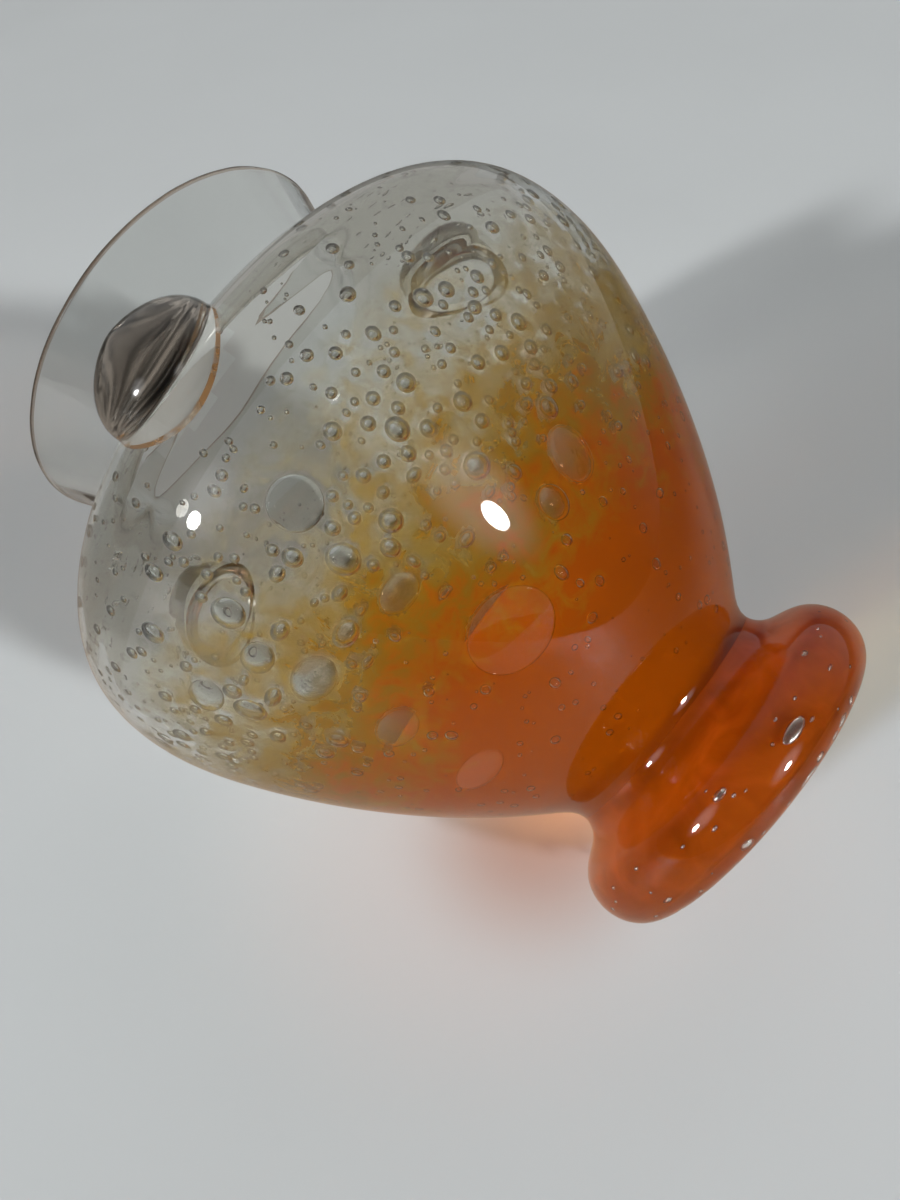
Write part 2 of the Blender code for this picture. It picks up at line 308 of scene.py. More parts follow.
class VaseSizes(bpy.types.PropertyGroup):
    """Sizes of the vase as its solids have them, and how far the blown glass wanders"""

    foot_base_radius: length("Foot base radius", "Flat that the vase stands on", 0.0445)
    foot_radius: length("Foot radius", "Widest part of the foot", 0.0561)
    foot_edge_height: length("Foot edge height", "Height of the widest part of the foot", 0.0127)
    waist_radius: length("Waist radius", "Narrowest part, between foot and body", 0.0390)
    waist_height: length("Waist height", "Height of the narrowest part", 0.0331)
    shoulder_radius: length("Shoulder radius", "Radius where the body turns in", 0.1033)
    shoulder_height: length("Shoulder height", "Height where the body turns in", 0.1436)
    neck_radius: length("Neck radius", "Radius where the collar starts", 0.0560)
    neck_height: length("Neck height", "Height where the collar starts", 0.2019)
    lip_radius: length("Lip radius", "Radius of the mouth", 0.0647)
    collar_height: length("Collar height", "Height of the collar above the neck", 0.0281)
    casing_wall: length("Casing", "Clear glass outside the colour", 0.0048)
    casing_neck_wall: length("Casing at the neck", "Clear glass where the collar starts", 0.0028)
    colour_wall: length("Colour layer", "Thickness of the coloured lining", 0.0020)
    collar_wall: length("Collar wall", "Thickness of the collar", 0.0028)
    foot_wall: length("Foot casing", "Clear glass round the core of the foot", 0.0022)
    foot_base_wall: length("Foot base", "Clear glass under the core of the foot", 0.0060)
    cavity_floor: length("Floor height", "Height of the floor inside", 0.0520)
    bowl_depth: length("Bowl depth", "Depth of the rounded floor inside", 0.0140)
    join_gap: length("Join gap", "Room between the solids", 0.0003)
    colour_top: number("Colour top", "Share of the way from shoulder to neck", 0.08, subtype="FACTOR")
    knob_height: length("Knob height", "How far a knob stands out", 0.0136)
    knob_radius: length("Knob radius", "Foot of a knob's dome", 0.0188)
    knob_root_radius: length("Knob root radius", "Radius at the root of a knob's skirt", 0.0212)
    knob_root_depth: length("Knob root depth", "Depth at which a knob's skirt would end", 0.0130)
    knob_pull: number("Knob pull", "Above 1 the dome is pulled to a blunt point", 1.2)
    wave: length("Inside wave", "How far the blown inside wanders", 0.00048)
    skin_wave: length("Outside wave", "How far the blown outside wanders", 0.00010)
    wave_length: length("Wave length", "Distance over which they wander", 0.030)
    cord: length("Cord", "How far the cords of the collar stand out", 0.00025)
    edge_wander: length("Edge wander", "How far the edge of the colour gather wanders", 0.0030)


class BubbleSizes(bpy.types.PropertyGroup):
    """The air bubbles in the wall"""

    seed: count("Seed", "Another scatter of bubbles", 7)
    body_count: count("Body bubbles", "Bubbles in the body", 2200)
    foot_count: count("Foot bubbles", "Bubbles round the edge of the foot", 120)
    least: length("Least width", "Smallest bubble", 0.0006)
    common: length("Common width", "Width that half the bubbles are under", 0.0021)
    most: length("Most width", "Largest scattered bubble", 0.0070)
    thickest: length("Thickest", "Most that a bubble swells through the wall", 0.0042)


class GlassColours(bpy.types.PropertyGroup):
    """Colours of the glass"""

    clear: colour("Clear", "Clear glass", "#F7F8F5")
    # Grey tint of the collar: partly the glass's own colour, partly painted shade of the shaded table seen
    # through it
    collar: colour("Collar", "Clear glass of the collar", "#EAEBE8")
    # Grey tint above the colour: partly the glass's own colour, partly painted shade of the shaded table seen
    # through it
    shoulder: colour("Shoulder", "Thick clear glass above the colour", "#E4E2DB")
    knob: colour("Knob", "Glass of the knobs", "#F2F0E8")
    straw: colour("Straw", "Thin wisps at the shoulder", "#877D5A")
    olive: colour("Olive", "Thin cloudy colour in the middle", "#7C662A")
    amber: colour("Amber", "Cloudy colour in the middle", "#765210")
    rust: colour("Rust", "Where the amber closes up", "#7E4808")
    orange: colour("Orange", "Low in the body, by the waist", "#813A02")
    core: colour("Core", "Solid colour of the foot", "#954C05")
    ember: colour("Ember", "Paler cords in the foot", "#B55E15")
    stain: colour("Stain", "Brown line where a knob is fused on", "#6B4A22")
    lip: colour("Lip", "Thin line round the mouth", "#B09A88")


class StageSettings(bpy.types.PropertyGroup):
    """Camera, table and lamps"""

    camera_place: FloatVectorProperty(
        name="Camera place",
        description="Where the camera is",
        default=(0.02474, -0.28283, 0.06158),
        unit="LENGTH",
    )
    camera_turn: FloatVectorProperty(
        name="Camera turn",
        description="How the camera is turned",
        default=tuple(math.radians(angle) for angle in (104.679, 50.866, 18.985)),
        subtype="EULER",
    )
    table_heading: number("Table heading", "Side that looks up", math.radians(35.0), subtype="ANGLE")
    table_tilt: number("Table tilt", "Lean of the table to the axis", math.radians(19.9), subtype="ANGLE")
    table_size: length("Table size", "Width of the table", 8.0)
    table: colour("Table", "Pale table", "#BCC0C1")
    # Painted shade: the table's colour darkened and warmed under the waist
    painted_warm_shade: colour("Warm shade", "Table in the coloured shade by the waist", "#9A7868")
    # Painted reflection: the table's colour in the glass's mirror images, warmer than the table itself
    painted_reflection: colour("Mirrored table", "Table as the glass mirrors it", "#A3978A")
    # Colour of the painted glow: emission on the table in place of light that the glass throws there
    glow: colour("Glow", "Warm light that the glass throws on the table", "#C86A28")
    room: colour("Room", "Dim room that the glass mirrors", "#3A3A38")
    walls: colour("Walls", "Pale walls beyond the table", "#A2A2A0")
    room_light: number("Room light", "Share of the room's light that falls on matt things", 0.2)
    lamp_distance: length("Lamp distance", "From the vase to each light", 12.0)
    lamp_size: length("Lamp size", "Width of each lamp", 1.35)
    lamp_power: number("Lamp power", "Power of each lamp", 1430.0, unit="POWER")
    window_size: length("Window size", "Width of the faint window round each lamp", 6.5)
    window_power: number("Window power", "Power of each window", 85.0, unit="POWER")
    back_size: length("Back size", "Width of the soft back light", 6.0)
    back_power: number("Back power", "Power of the soft back light", 95.0, unit="POWER")


def between(low, high, share):
    """The value that lies this share of the way from low to high."""
    return low + (high - low) * share


def smooth_share(value, low, high):
    """0 below low, 1 above high and an even curve between."""
    share = min(max((value - low) / (high - low), 0.0), 1.0)
    return share * share * (3.0 - 2.0 * share)


def hump(value, middle, half_width):
    """1 at the middle, falling off evenly to both sides."""
    return math.exp(-(((value - middle) / half_width) ** 2))


class OutsideCurve:
    """The outside of the vase, a natural cubic through its stations, measured along their chords."""

    def __init__(self, sizes):
        stations = (
            (sizes.foot_base_radius, 0.0),
            (sizes.foot_radius, sizes.foot_edge_height),
            (sizes.waist_radius, sizes.waist_height),
            (sizes.shoulder_radius, sizes.shoulder_height),
            (sizes.neck_radius, sizes.neck_height),
            (sizes.lip_radius, sizes.neck_height + sizes.collar_height),
        )
        points = []
        landmarks = []
        for low, high, shares in zip(stations[:-1], stations[1:], SPAN_SHARES):
            landmarks.append(len(points))
            points.append(low)
            small, large = sorted((low[0], high[0]))
            for share_up, share_out in shares:
                points.append((between(small, large, share_out), between(low[1], high[1], share_up)))
        points.append(stations[-1])
        self.points = np.array(points)
        steps = np.linalg.norm(np.diff(self.points, axis=0), axis=1)
        self.knots = np.concatenate([[0.0], np.cumsum(steps)])
        self.bend = self.bends(steps)
        self.waist, self.shoulder, self.neck = (self.knots[mark] for mark in landmarks[2:5])
        self.lip = self.knots[-1]
        self.colour_end = between(self.shoulder, self.neck, sizes.colour_top)
        self.places = np.linspace(self.waist, self.neck, SURFACE_ROWS)
        self.surface = np.array([self.at(along)[0] for along in self.places])

    def bends(self, steps):
        """Second derivatives at the stations."""
        size = len(self.points)
        matrix = np.eye(size)
        right = np.zeros((size, 2))
        for index in range(1, size - 1):
            before, after = steps[index - 1], steps[index]
            matrix[index, index - 1 : index + 2] = (before, 2.0 * (before + after), after)
            rise = (self.points[index + 1] - self.points[index]) / after
            fall = (self.points[index] - self.points[index - 1]) / before
            right[index] = 6.0 * (rise - fall)
        return np.linalg.solve(matrix, right)

    def at(self, along):
        """(point, outward normal) as (radius, height) pairs at this distance along."""
        span = int(np.clip(np.searchsorted(self.knots, along, side="right") - 1, 0, len(self.knots) - 2))
        width = self.knots[span + 1] - self.knots[span]
        after = (along - self.knots[span]) / width
        before = 1.0 - after
        start, end = self.points[span], self.points[span + 1]
        bend_a, bend_b = self.bend[span], self.bend[span + 1]
        point = before * start + after * end
        point = point + ((before**3 - before) * bend_a + (after**3 - after) * bend_b) * width**2 / 6.0
        slope = (end - start) / width
        slope = slope + ((3 * after**2 - 1) * bend_b - (3 * before**2 - 1) * bend_a) * width / 6.0
        slope = slope / np.linalg.norm(slope)
        return point, np.array([slope[1], -slope[0]])

    def run(self, start, end, spacing, depth):
        """Points under the surface by depth(along), with a close row at each end to keep joins smooth."""
        spans = int(math.ceil((end - start) / spacing))
        places = [start, start + JOINT_ROW, *np.linspace(start, end, spans + 1)[1:-1], end - JOINT_ROW, end]
        rows = []
        for along in places:
            point, normal = self.at(along)
            rows.append(point - depth(along) * normal)
        return rows

    def along_at_height(self, height):
        """Distance along at which the shoulder is this high."""
        upper = self.places > self.shoulder
        return float(np.interp(height, self.surface[upper, 1], self.places[upper]))

    def height_over(self, place):
        """How far a place is outside the body, measured level from the axis."""
        radius = math.hypot(place.x, place.y)
        return radius - float(np.interp(place.z, self.surface[:, 1], self.surface[:, 0]))

    def wall_axes(self, along, around, depth):
        """Place in the wall, with the directions along the vase, round it and out of it."""
        point, normal = self.at(along)
        outward = Vector((math.sin(around), -math.cos(around), 0.0))
        round_it = Vector((math.cos(around), math.sin(around), 0.0))
        radius, height = (float(value) for value in point - depth * normal)
        out = float(normal[0]) * outward + Vector((0.0, 0.0, float(normal[1])))
        return radius * outward + Vector((0.0, 0.0, height)), round_it.cross(-out), round_it, out


def even(depth):
    """The same depth all the way along."""
    return lambda along: depth


def casing_depth(sizes, curve, extra):
    """Depth of the casing's inner face, with this much more, at each distance along."""

    def depth(along):
        share = min(max((along - curve.shoulder) / (curve.neck - curve.shoulder), 0.0), 1.0)
        return between(sizes.casing_wall, sizes.casing_neck_wall, share) + extra

    return depth


def wall_depth(sizes, curve):
    """Depth of the inside of the vase: casing, lining that thins out above the colour, and a low ridge."""
    casing = casing_depth(sizes, curve, 0.0)
    lining = sizes.join_gap + sizes.colour_wall
    end = curve.colour_end

    def depth(along):
        ridge = EDGE_RIDGE * hump(along - end, EDGE_ABOVE, EDGE_WIDTH)
        bare = smooth_share(along, end - THINS_BELOW, end + THINS_ABOVE)
        return casing(along) + lining * (1.0 - bare) + ridge

    return depth


def add_node(tree, kind, settings=None, inputs=None):
    """Adds a node with its settings, and fills its inputs with values or with links.

    A link comes from a socket, or from the first output of a node.
    """
    node = tree.nodes.new(kind)
    for name, value in (settings or {}).items():
        setattr(node, name, value)
    for name, value in (inputs or {}).items():
        if isinstance(value, bpy.types.Node):
            value = value.outputs[0]
        if isinstance(value, bpy.types.NodeSocket):
            tree.links.new(value, node.inputs[name])
        else:
            node.inputs[name].default_value = value
    return node


def set_ramp(ramp, stops):
    """Fills a colour ramp with (place, grey or colour) stops."""
    elements = ramp.color_ramp.elements
    while len(elements) < len(stops):
        elements.new(1.0)
    for element, (place, value) in zip(elements, stops):
        element.position = place
        element.color = (value, value, value, 1.0) if isinstance(value, float) else value


def pattern_scale(millimetres):
    """Scale of a noise of this width, on Object coordinates in metres."""
    return 1000.0 / millimetres


def new_material(name):
    """An empty node material and its tree."""
    material = bpy.data.materials.new(name)
    material.use_nodes = True
    material.node_tree.nodes.clear()
    return material, material.node_tree


def let_lamps_through(tree, shader, tint):
    """Finishes a material so that lamps shine through it, with this tint, and light what is behind."""
    path = add_node(tree, "ShaderNodeLightPath")
    way = add_node(tree, "ShaderNodeBsdfTransparent", inputs={"Color": tint})
    both = add_node(tree, "ShaderNodeMixShader", inputs={0: path.outputs["Is Shadow Ray"], 1: shader, 2: way})
    add_node(tree, "ShaderNodeOutputMaterial", inputs={"Surface": both})


def bare_glass(tree, tint, bend=GLASS_BEND, haze=0.0):
    """A bare fire-polished face: sharp mirror images and clear depth, or softer ones with a haze."""
    return add_node(
        tree,
        "ShaderNodeBsdfPrincipled",
        inputs={"Base Color": tuple(tint), "Roughness": haze, "IOR": bend, "Transmission Weight": 1.0},
    )


def blown_glass(name, tint, straight, bend=GLASS_BEND, haze=0.0):
    """Soda-lime glass, blown: clear depth and sharp mirror images, with a faint tint.

    Of a lamp's light the share called straight goes on through each face, and the rest is bent aside.
    """
    material, tree = new_material(name)
    let_lamps_through(tree, bare_glass(tree, tint, bend, haze), (straight, straight, straight, 1.0))
    return material


def silvery_gap(tint):
    """A thin air gap low in the foot: it turns most of the light back, so it looks silver."""
    material, tree = new_material("silvery air gap in the foot")
    turned_back = add_node(
        tree,
        "ShaderNodeBsdfPrincipled",
        inputs={"Base Color": tuple(tint), "Roughness": 0.12, "Metallic": 1.0},
    )
    bare = bare_glass(tree, tint)
    both = add_node(tree, "ShaderNodeMixShader", inputs={0: SILVER_SHARE, 1: bare, 2: turned_back})
    let_lamps_through(tree, both, (SILVER_STRAIGHT, SILVER_STRAIGHT, SILVER_STRAIGHT, 1.0))
    return material


def fused_join():
    """Where two gathers were joined hot there is no surface left to see."""
    material, tree = new_material("fused join in the glass")
    clear = add_node(tree, "ShaderNodeBsdfTransparent")
    add_node(tree, "ShaderNodeOutputMaterial", inputs={"Surface": clear})
    return material


def under_knob_glass(tint):
    """Casing glass at the edge of a knob: fused inside its outline and bare glass outside it."""
    material, tree = new_material("blown glass at the edge of a knob")
    reach = add_node(tree, "ShaderNodeAttribute", {"attribute_name": "from_knob"})
    inside = add_node(tree, "ShaderNodeMath", {"operation": "LESS_THAN"}, {0: reach.outputs["Fac"], 1: 0.0})
    fused = add_node(tree, "ShaderNodeBsdfTransparent")
    both = add_node(tree, "ShaderNodeMixShader", inputs={0: inside, 1: bare_glass(tree, tint), 2: fused})
    let_lamps_through(tree, both, KNOB_EDGE_SHADE)
    return material


def opal_shader(tree, paint, glow):
    """Opal glass sends back a part of the light and lets a part through, so it glows when lit from behind."""
    front = add_node(
        tree,
        "ShaderNodeBsdfPrincipled",
        inputs={"Base Color": paint, "Roughness": 0.7, "Specular IOR Level": 0.0},
    )
    through = add_node(tree, "ShaderNodeBsdfTranslucent", inputs={"Color": paint})
    return add_node(tree, "ShaderNodeMixShader", inputs={0: glow, 1: front, 2: through})


def opal_colour(name, colours, thin):
    """Opal colour rolled on as powder: closed up to deep orange low down, thinned to cloudy wisps above."""
    material, tree = new_material(name)
    place = add_node(tree, "ShaderNodeTexCoord")
    axes = add_node(tree, "ShaderNodeSeparateXYZ", inputs={0: place.outputs["Object"]})
    low, high = WISP_HEIGHTS
    rise = add_node(
        tree,
        "ShaderNodeMapRange",
        {"clamp": False},
        {"Value": axes.outputs["Z"], "From Min": low, "From Max": high, "To Min": 0.0, "To Max": 1.0},
    )
    cloud = add_node(
        tree,
        "ShaderNodeTexNoise",
        inputs={
            "Vector": place.outputs["Object"],
            "Scale": pattern_scale(CLOUD_MM),
            "Detail": 5.0,
            "Roughness": 0.6,
            "Distortion": 1.0,
        },
    )
    wisp = add_node(
        tree,
        "ShaderNodeTexNoise",
        inputs={
            "Vector": place.outputs["Object"],
            "Scale": pattern_scale(WISP_MM),
            "Detail": 5.0,
            "Roughness": 0.65,
            "Distortion": 1.2,
        },
    )
    total = rise
    for pattern, amount in ((cloud, CLOUD_SHARE), (wisp, WISP_SHARE)):
        total = add_node(
            tree,
            "ShaderNodeMath",
            {"operation": "MULTIPLY_ADD"},
            {0: pattern.outputs["Fac"], 1: amount, 2: total},
        )
    closed_at, bare_at = FILM_RANGE
    share = add_node(
        tree,
        "ShaderNodeMapRange",
        inputs={"Value": total, "From Min": closed_at, "From Max": bare_at, "To Min": 0.0, "To Max": 1.0},
    )
    paint = add_node(tree, "ShaderNodeValToRGB", inputs={0: share})
    set_ramp(
        paint,
        (
            (0.02, colours.orange),
            (0.18, colours.rust),
            (0.30, colours.amber),
            (0.51, colours.olive),
            (0.81, colours.straw),
        ),
    )
    shader = opal_shader(tree, paint, OPAL_GLOW)
    if not thin:
        let_lamps_through(tree, shader, OPAL_SHADE)
        return material
    cover = add_node(tree, "ShaderNodeValToRGB", inputs={0: share})
    set_ramp(cover, FILM_COVER)
    low, high = EDGE_HEIGHTS
    edge = add_node(
        tree,
        "ShaderNodeMapRange",
        inputs={"Value": axes.outputs["Z"], "From Min": low, "From Max": high, "To Min": 1.0, "To Max": 0.0},
    )
    faded = add_node(tree, "ShaderNodeMath", {"operation": "MULTIPLY"}, {0: cover, 1: edge})
    hole = add_node(tree, "ShaderNodeAttribute", {"attribute_name": "thinned"})
    closed = add_node(
        tree,
        "ShaderNodeMath",
        {"operation": "SUBTRACT", "use_clamp": True},
        {0: faded, 1: hole.outputs["Fac"]},
    )
    clear = add_node(tree, "ShaderNodeBsdfTransparent")
    film = add_node(tree, "ShaderNodeMixShader", inputs={0: closed, 1: clear, 2: shader})
    tint = add_node(tree, "ShaderNodeMix", {"data_type": "RGBA"}, {0: closed, 6: NO_SHADE, 7: OPAL_SHADE})
    let_lamps_through(tree, film, tint.outputs[2])
    return material


def orange_core(colours):
    """The same opal colour as a solid gather: deep orange with faint cords from the working of the glass."""
    material, tree = new_material("opal orange glass of the foot")
    place = add_node(tree, "ShaderNodeTexCoord")
    cord = add_node(
        tree,
        "ShaderNodeTexNoise",
        inputs={
            "Vector": place.outputs["Object"],
            "Scale": pattern_scale(FOOT_CORD_MM),
            "Detail": 4.0,
            "Roughness": 0.55,
            "Distortion": 1.2,
        },
    )
    paint = add_node(tree, "ShaderNodeValToRGB", inputs={0: cord.outputs["Fac"]})
    set_ramp(paint, ((0.30, colours.core), (0.75, colours.ember)))
    let_lamps_through(tree, opal_shader(tree, paint, FOOT_GLOW), FOOT_SHADE)
    return material


def knob_stain(colours):
    """Brown line where a knob was stuck on: colour dragged along the seam, broken here and there."""
    material, tree = new_material("brown stain at the foot of a knob")
    place = add_node(tree, "ShaderNodeTexCoord")
    broken = add_node(
        tree,
        "ShaderNodeTexNoise",
        inputs={
            "Vector": place.outputs["Object"],
            "Scale": pattern_scale(STAIN_MM),
            "Detail": 3.0,
            "Roughness": 0.6,
        },
    )
    cover = add_node(tree, "ShaderNodeValToRGB", inputs={0: broken.outputs["Fac"]})
    set_ramp(cover, ((0.38, 0.15), (0.55, 0.85)))
    shader = add_node(
        tree,
        "ShaderNodeBsdfPrincipled",
        inputs={
            "Base Color": tuple(colours.stain),
            "Roughness": 0.6,
            "Specular IOR Level": 0.0,
            "Alpha": cover,
        },
    )
    let_lamps_through(tree, shader, STAIN_SHADE)
    return material


def join_rings(form, rings, slots):
    """Faces between each ring of corners and the next, with a material slot for each span.

    A ring of one corner closes the mesh. Faces of two slots meet at a sharp edge.
    """
    for low, high, slot in zip(rings[:-1], rings[1:], slots):
        steps = max(len(low), len(high))
        for step in range(steps):
            after = (step + 1) % steps
            if len(low) == 1:
                corners = (low[0], high[after], high[step])
            elif len(high) == 1:
                corners = (low[step], low[after], high[0])
            else:
                corners = (low[step], low[after], high[after], high[step])
            face = form.faces.new(corners)
            face.material_index = slot
            face.smooth = True
    for edge in form.edges:
        if len({face.material_index for face in edge.link_faces}) > 1:
            edge.smooth = False


def turned(profile, steps, slots, closed=False, waves=None):
    """A mesh turned about Z from (radius, height) rows, with a material slot for each span between rows.

    Rows run up the outside and down the inside, so the faces look out of the glass.
    """
    form = bmesh.new()
    rings = []
    for row, (radius, height) in enumerate(profile):
        if radius < ON_AXIS:
            rings.append([form.verts.new((0.0, 0.0, height))])
            continue
        ring = []
        for step in range(steps):
            turn = 2.0 * math.pi * step / steps
            place = Vector((radius * math.sin(turn), -radius * math.cos(turn), height))
            if waves is not None:
                place = waves(row, place)
            ring.append(form.verts.new(place))
        rings.append(ring)
    if closed:
        rings.append(rings[0])
    join_rings(form, rings, slots)
    return form


def finish_piece(form, name, materials, node):
    """Makes a piece of a mesh, with its materials, in place of a solid."""
    mesh = bpy.data.meshes.new(name)
    form.to_mesh(mesh)
    form.free()
    piece = bpy.data.objects.new(name, mesh)
    bpy.context.scene.collection.objects.link(piece)
    for material in materials:
        mesh.materials.append(material)
    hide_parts(node)
    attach(piece, "root")
    return piece


def bubble_tree():
    """Nodes that put a bubble on every point, turned and swollen by the point's own attributes."""
    tree = bpy.data.node_groups.new("air bubbles", "GeometryNodeTree")
    tree.interface.new_socket("Geometry", in_out="INPUT", socket_type="NodeSocketGeometry")
    tree.interface.new_socket("Fineness", in_out="INPUT", socket_type="NodeSocketInt")
    tree.interface.new_socket("Swell", in_out="INPUT", socket_type="NodeSocketFloat")
    tree.interface.new_socket("Material", in_out="INPUT", socket_type="NodeSocketMaterial")
    tree.interface.new_socket("Geometry", in_out="OUTPUT", socket_type="NodeSocketGeometry")
    source = add_node(tree, "NodeGroupInput")
    ball = add_node(
        tree, "GeometryNodeMeshIcoSphere", inputs={"Radius": 1.0, "Subdivisions": source.outputs["Fineness"]}
    )
    vector = {"data_type": "FLOAT_VECTOR"}
    turn = add_node(tree, "GeometryNodeInputNamedAttribute", vector, {"Name": "turn"})
    size = add_node(tree, "GeometryNodeInputNamedAttribute", vector, {"Name": "half_size"})
    swollen = add_node(
        tree,
        "ShaderNodeVectorMath",
        {"operation": "SCALE"},
        {0: size.outputs["Attribute"], "Scale": source.outputs["Swell"]},
    )
    facing = add_node(tree, "FunctionNodeEulerToRotation", inputs={0: turn.outputs["Attribute"]})
    placed = add_node(
        tree,
        "GeometryNodeInstanceOnPoints",
        inputs={
            "Points": source.outputs["Geometry"],
            "Instance": ball.outputs["Mesh"],
            "Rotation": facing,
            "Scale": swollen,
        },
    )
    whole = add_node(tree, "GeometryNodeRealizeInstances", inputs={0: placed})
    hollow = add_node(tree, "GeometryNodeFlipFaces", inputs={0: whole})
    round_off = add_node(tree, "GeometryNodeSetShadeSmooth", inputs={0: hollow})
    painted = add_node(
        tree,
        "GeometryNodeSetMaterial",
        inputs={"Geometry": round_off, "Material": source.outputs["Material"]},
    )
    add_node(tree, "NodeGroupOutput", inputs={0: painted})
    return tree


def add_hollows(form, bubbles, fineness, material, slot):
    """Adds bubbles to a mesh as hollows in the glass, in one of its material slots."""
    points = bpy.data.meshes.new("bubble points")
    points.from_pydata([bubble["centre"] for bubble in bubbles], [], [])
    for name in ("turn", "half_size"):
        attribute = points.attributes.new(name, "FLOAT_VECTOR", "POINT")
        attribute.data.foreach_set("vector", [value for bubble in bubbles for value in bubble[name]])
    holder = bpy.data.objects.new("bubble points", points)
    bpy.context.scene.collection.objects.link(holder)
    tree = bubble_tree()
    modifier = holder.modifiers.new("air bubbles", "NODES")
    modifier.node_group = tree
    sockets = {item.name: item.identifier for item in tree.interface.items_tree if item.in_out == "INPUT"}
    modifier[sockets["Fineness"]] = fineness
    modifier[sockets["Swell"]] = 1.0
    modifier[sockets["Material"]] = material
    graph = bpy.context.evaluated_depsgraph_get()
    mesh = bpy.data.meshes.new_from_object(holder.evaluated_get(graph))
    bpy.data.objects.remove(holder)
    bpy.data.meshes.remove(points)
    bpy.data.node_groups.remove(tree)
    start = len(form.faces)
    form.from_mesh(mesh)
    form.faces.ensure_lookup_table()
    for face in form.faces[start:]:
        face.material_index = slot
        face.smooth = True
    bpy.data.meshes.remove(mesh)


def bubble_at(curve, along, around, depth, long_way, wide_way, thick_way):
    """A bubble in the wall: centre, turn and half sizes along the vase, round it and through the wall."""
    centre, along_it, round_it, out = curve.wall_axes(along, around, depth)
    axes = Matrix((along_it, round_it, out)).transposed()
    return {
        "centre": centre,
        "turn": tuple(axes.to_euler()),
        "half_size": (0.5 * long_way, 0.5 * wide_way, 0.5 * thick_way),
        "axes": axes,
        "width": 0.5 * (long_way + wide_way),
    }


def pixel_place(curve, stage, across, down):
    """(distance along, heading, distance from the camera) where a picture's pixel meets the body."""
    eye = Vector(stage.camera_place)
    look = Vector((across - 0.5 * PICTURE[0], 0.5 * PICTURE[1] - down, -FOCAL_PIXELS)).normalized()
    look.rotate(Euler(stage.camera_turn))
    near, far = 0.0, None
    for step in range(1, SIGHT_STEPS):
        distance = SIGHT_STEP * step
        if curve.height_over(eye + distance * look) < 0.0:
            far = distance
            break
        near = distance
    if far is None:
        raise RuntimeError(f"pixel {across}, {down} misses the body")
    for _ in range(SIGHT_HALVINGS):
        middle = 0.5 * (near + far)
        if curve.height_over(eye + middle * look) < 0.0:
            far = middle
        else:
            near = middle
    place = eye + far * look
    along = float(np.interp(place.z, curve.surface[:, 1], curve.places))
    return along, math.atan2(place.x, -place.y), far


def body_bubbles(scene, curve, knobs):
    """The large bubbles seen in the picture and a scatter of smaller ones that keep apart."""
    sizes, wanted = scene.vase_sizes, scene.vase_bubbles
    chance = random.Random(wanted.seed)
    bubbles = []
    for across, down, long_way, wide_way in SEEN_BUBBLES:
        along, around, distance = pixel_place(curve, scene.vase_stage, across, down)
        scale = distance / FOCAL_PIXELS
        long_way, wide_way = long_way * scale, wide_way * scale
        flat = smooth_share(max(long_way, wide_way), *FLAT_WIDTHS)
        thick = min(SEEN_ROUND * min(long_way, wide_way), between(wanted.thickest, FLAT_THICKNESS, flat))
        depth = BUBBLE_DEPTH - SEEN_RISE * thick
        bubbles.append(bubble_at(curve, along, around, depth, long_way, wide_way, thick))
    low, high = curve.waist + END_ROOM, curve.neck - END_ROOM
    while len(bubbles) < wanted.body_count:
        along = chance.uniform(low, high)
        around = chance.uniform(-math.pi, math.pi)
        point = curve.at(along)[0]
        share = (point[1] - sizes.waist_height) / (sizes.neck_height - sizes.waist_height)
        crowd = between(CROWD_LEAST, 1.0, hump(share, CROWD_AT, CROWD_WIDTH))
        if chance.random() > crowd * point[0] / sizes.shoulder_radius:
            continue
        width = wanted.common * math.exp(chance.gauss(0.0, WIDTH_SPREAD))
        if not LARGE_FROM < share < LARGE_TO:
            width = min(SMALL_SHARE * width, SMALL_MOST)
        width = min(max(width, wanted.least), wanted.most)
        thick = min(width, wanted.thickest) * chance.uniform(*THICK_SHARES)
        stretch = chance.uniform(*STRETCHES)
        deepest = max(0.5 * thick + DEEP_COVER, BUBBLE_DEPTH - SCATTER_RISE * thick)
        depth = chance.uniform(0.5 * thick + SHALLOW_COVER, deepest)
        bubble = bubble_at(curve, along, around, depth, width * stretch, width, thick)
        if any(knob.reach(bubble["centre"]) < width for knob in knobs):
            continue
        if any(
            (bubble["centre"] - other["centre"]).length < ROOM_BETWEEN * (bubble["width"] + other["width"])
            for other in bubbles
        ):
            continue
        bubbles.append(bubble)
    return bubbles


def foot_gaps(wanted, curve):
    """Flat air gaps round the foot, most of them low down, that keep apart."""
    chance = random.Random(wanted.seed + 1)
    gaps = []
    while len(gaps) < wanted.foot_count:
        zone = FOOT_LOW if chance.random() < FOOT_LOW_SHARE else FOOT_HIGH
        start, end, common, most_stretch, thickest = zone
        along = chance.uniform(start, end)
        around = chance.uniform(-math.pi, math.pi)
        width = min(common * math.exp(chance.gauss(0.0, FOOT_SPREAD)), FOOT_MOST)
        stretch = chance.uniform(1.0, most_stretch)
        thick = min(width, thickest)
        gap = bubble_at(curve, along, around, FOOT_COVER + 0.5 * thick, width, width * stretch, thick)
        if all((gap["centre"] - other["centre"]).length >= FOOT_ROOM for other in gaps):
            gaps.append(gap)
    return gaps


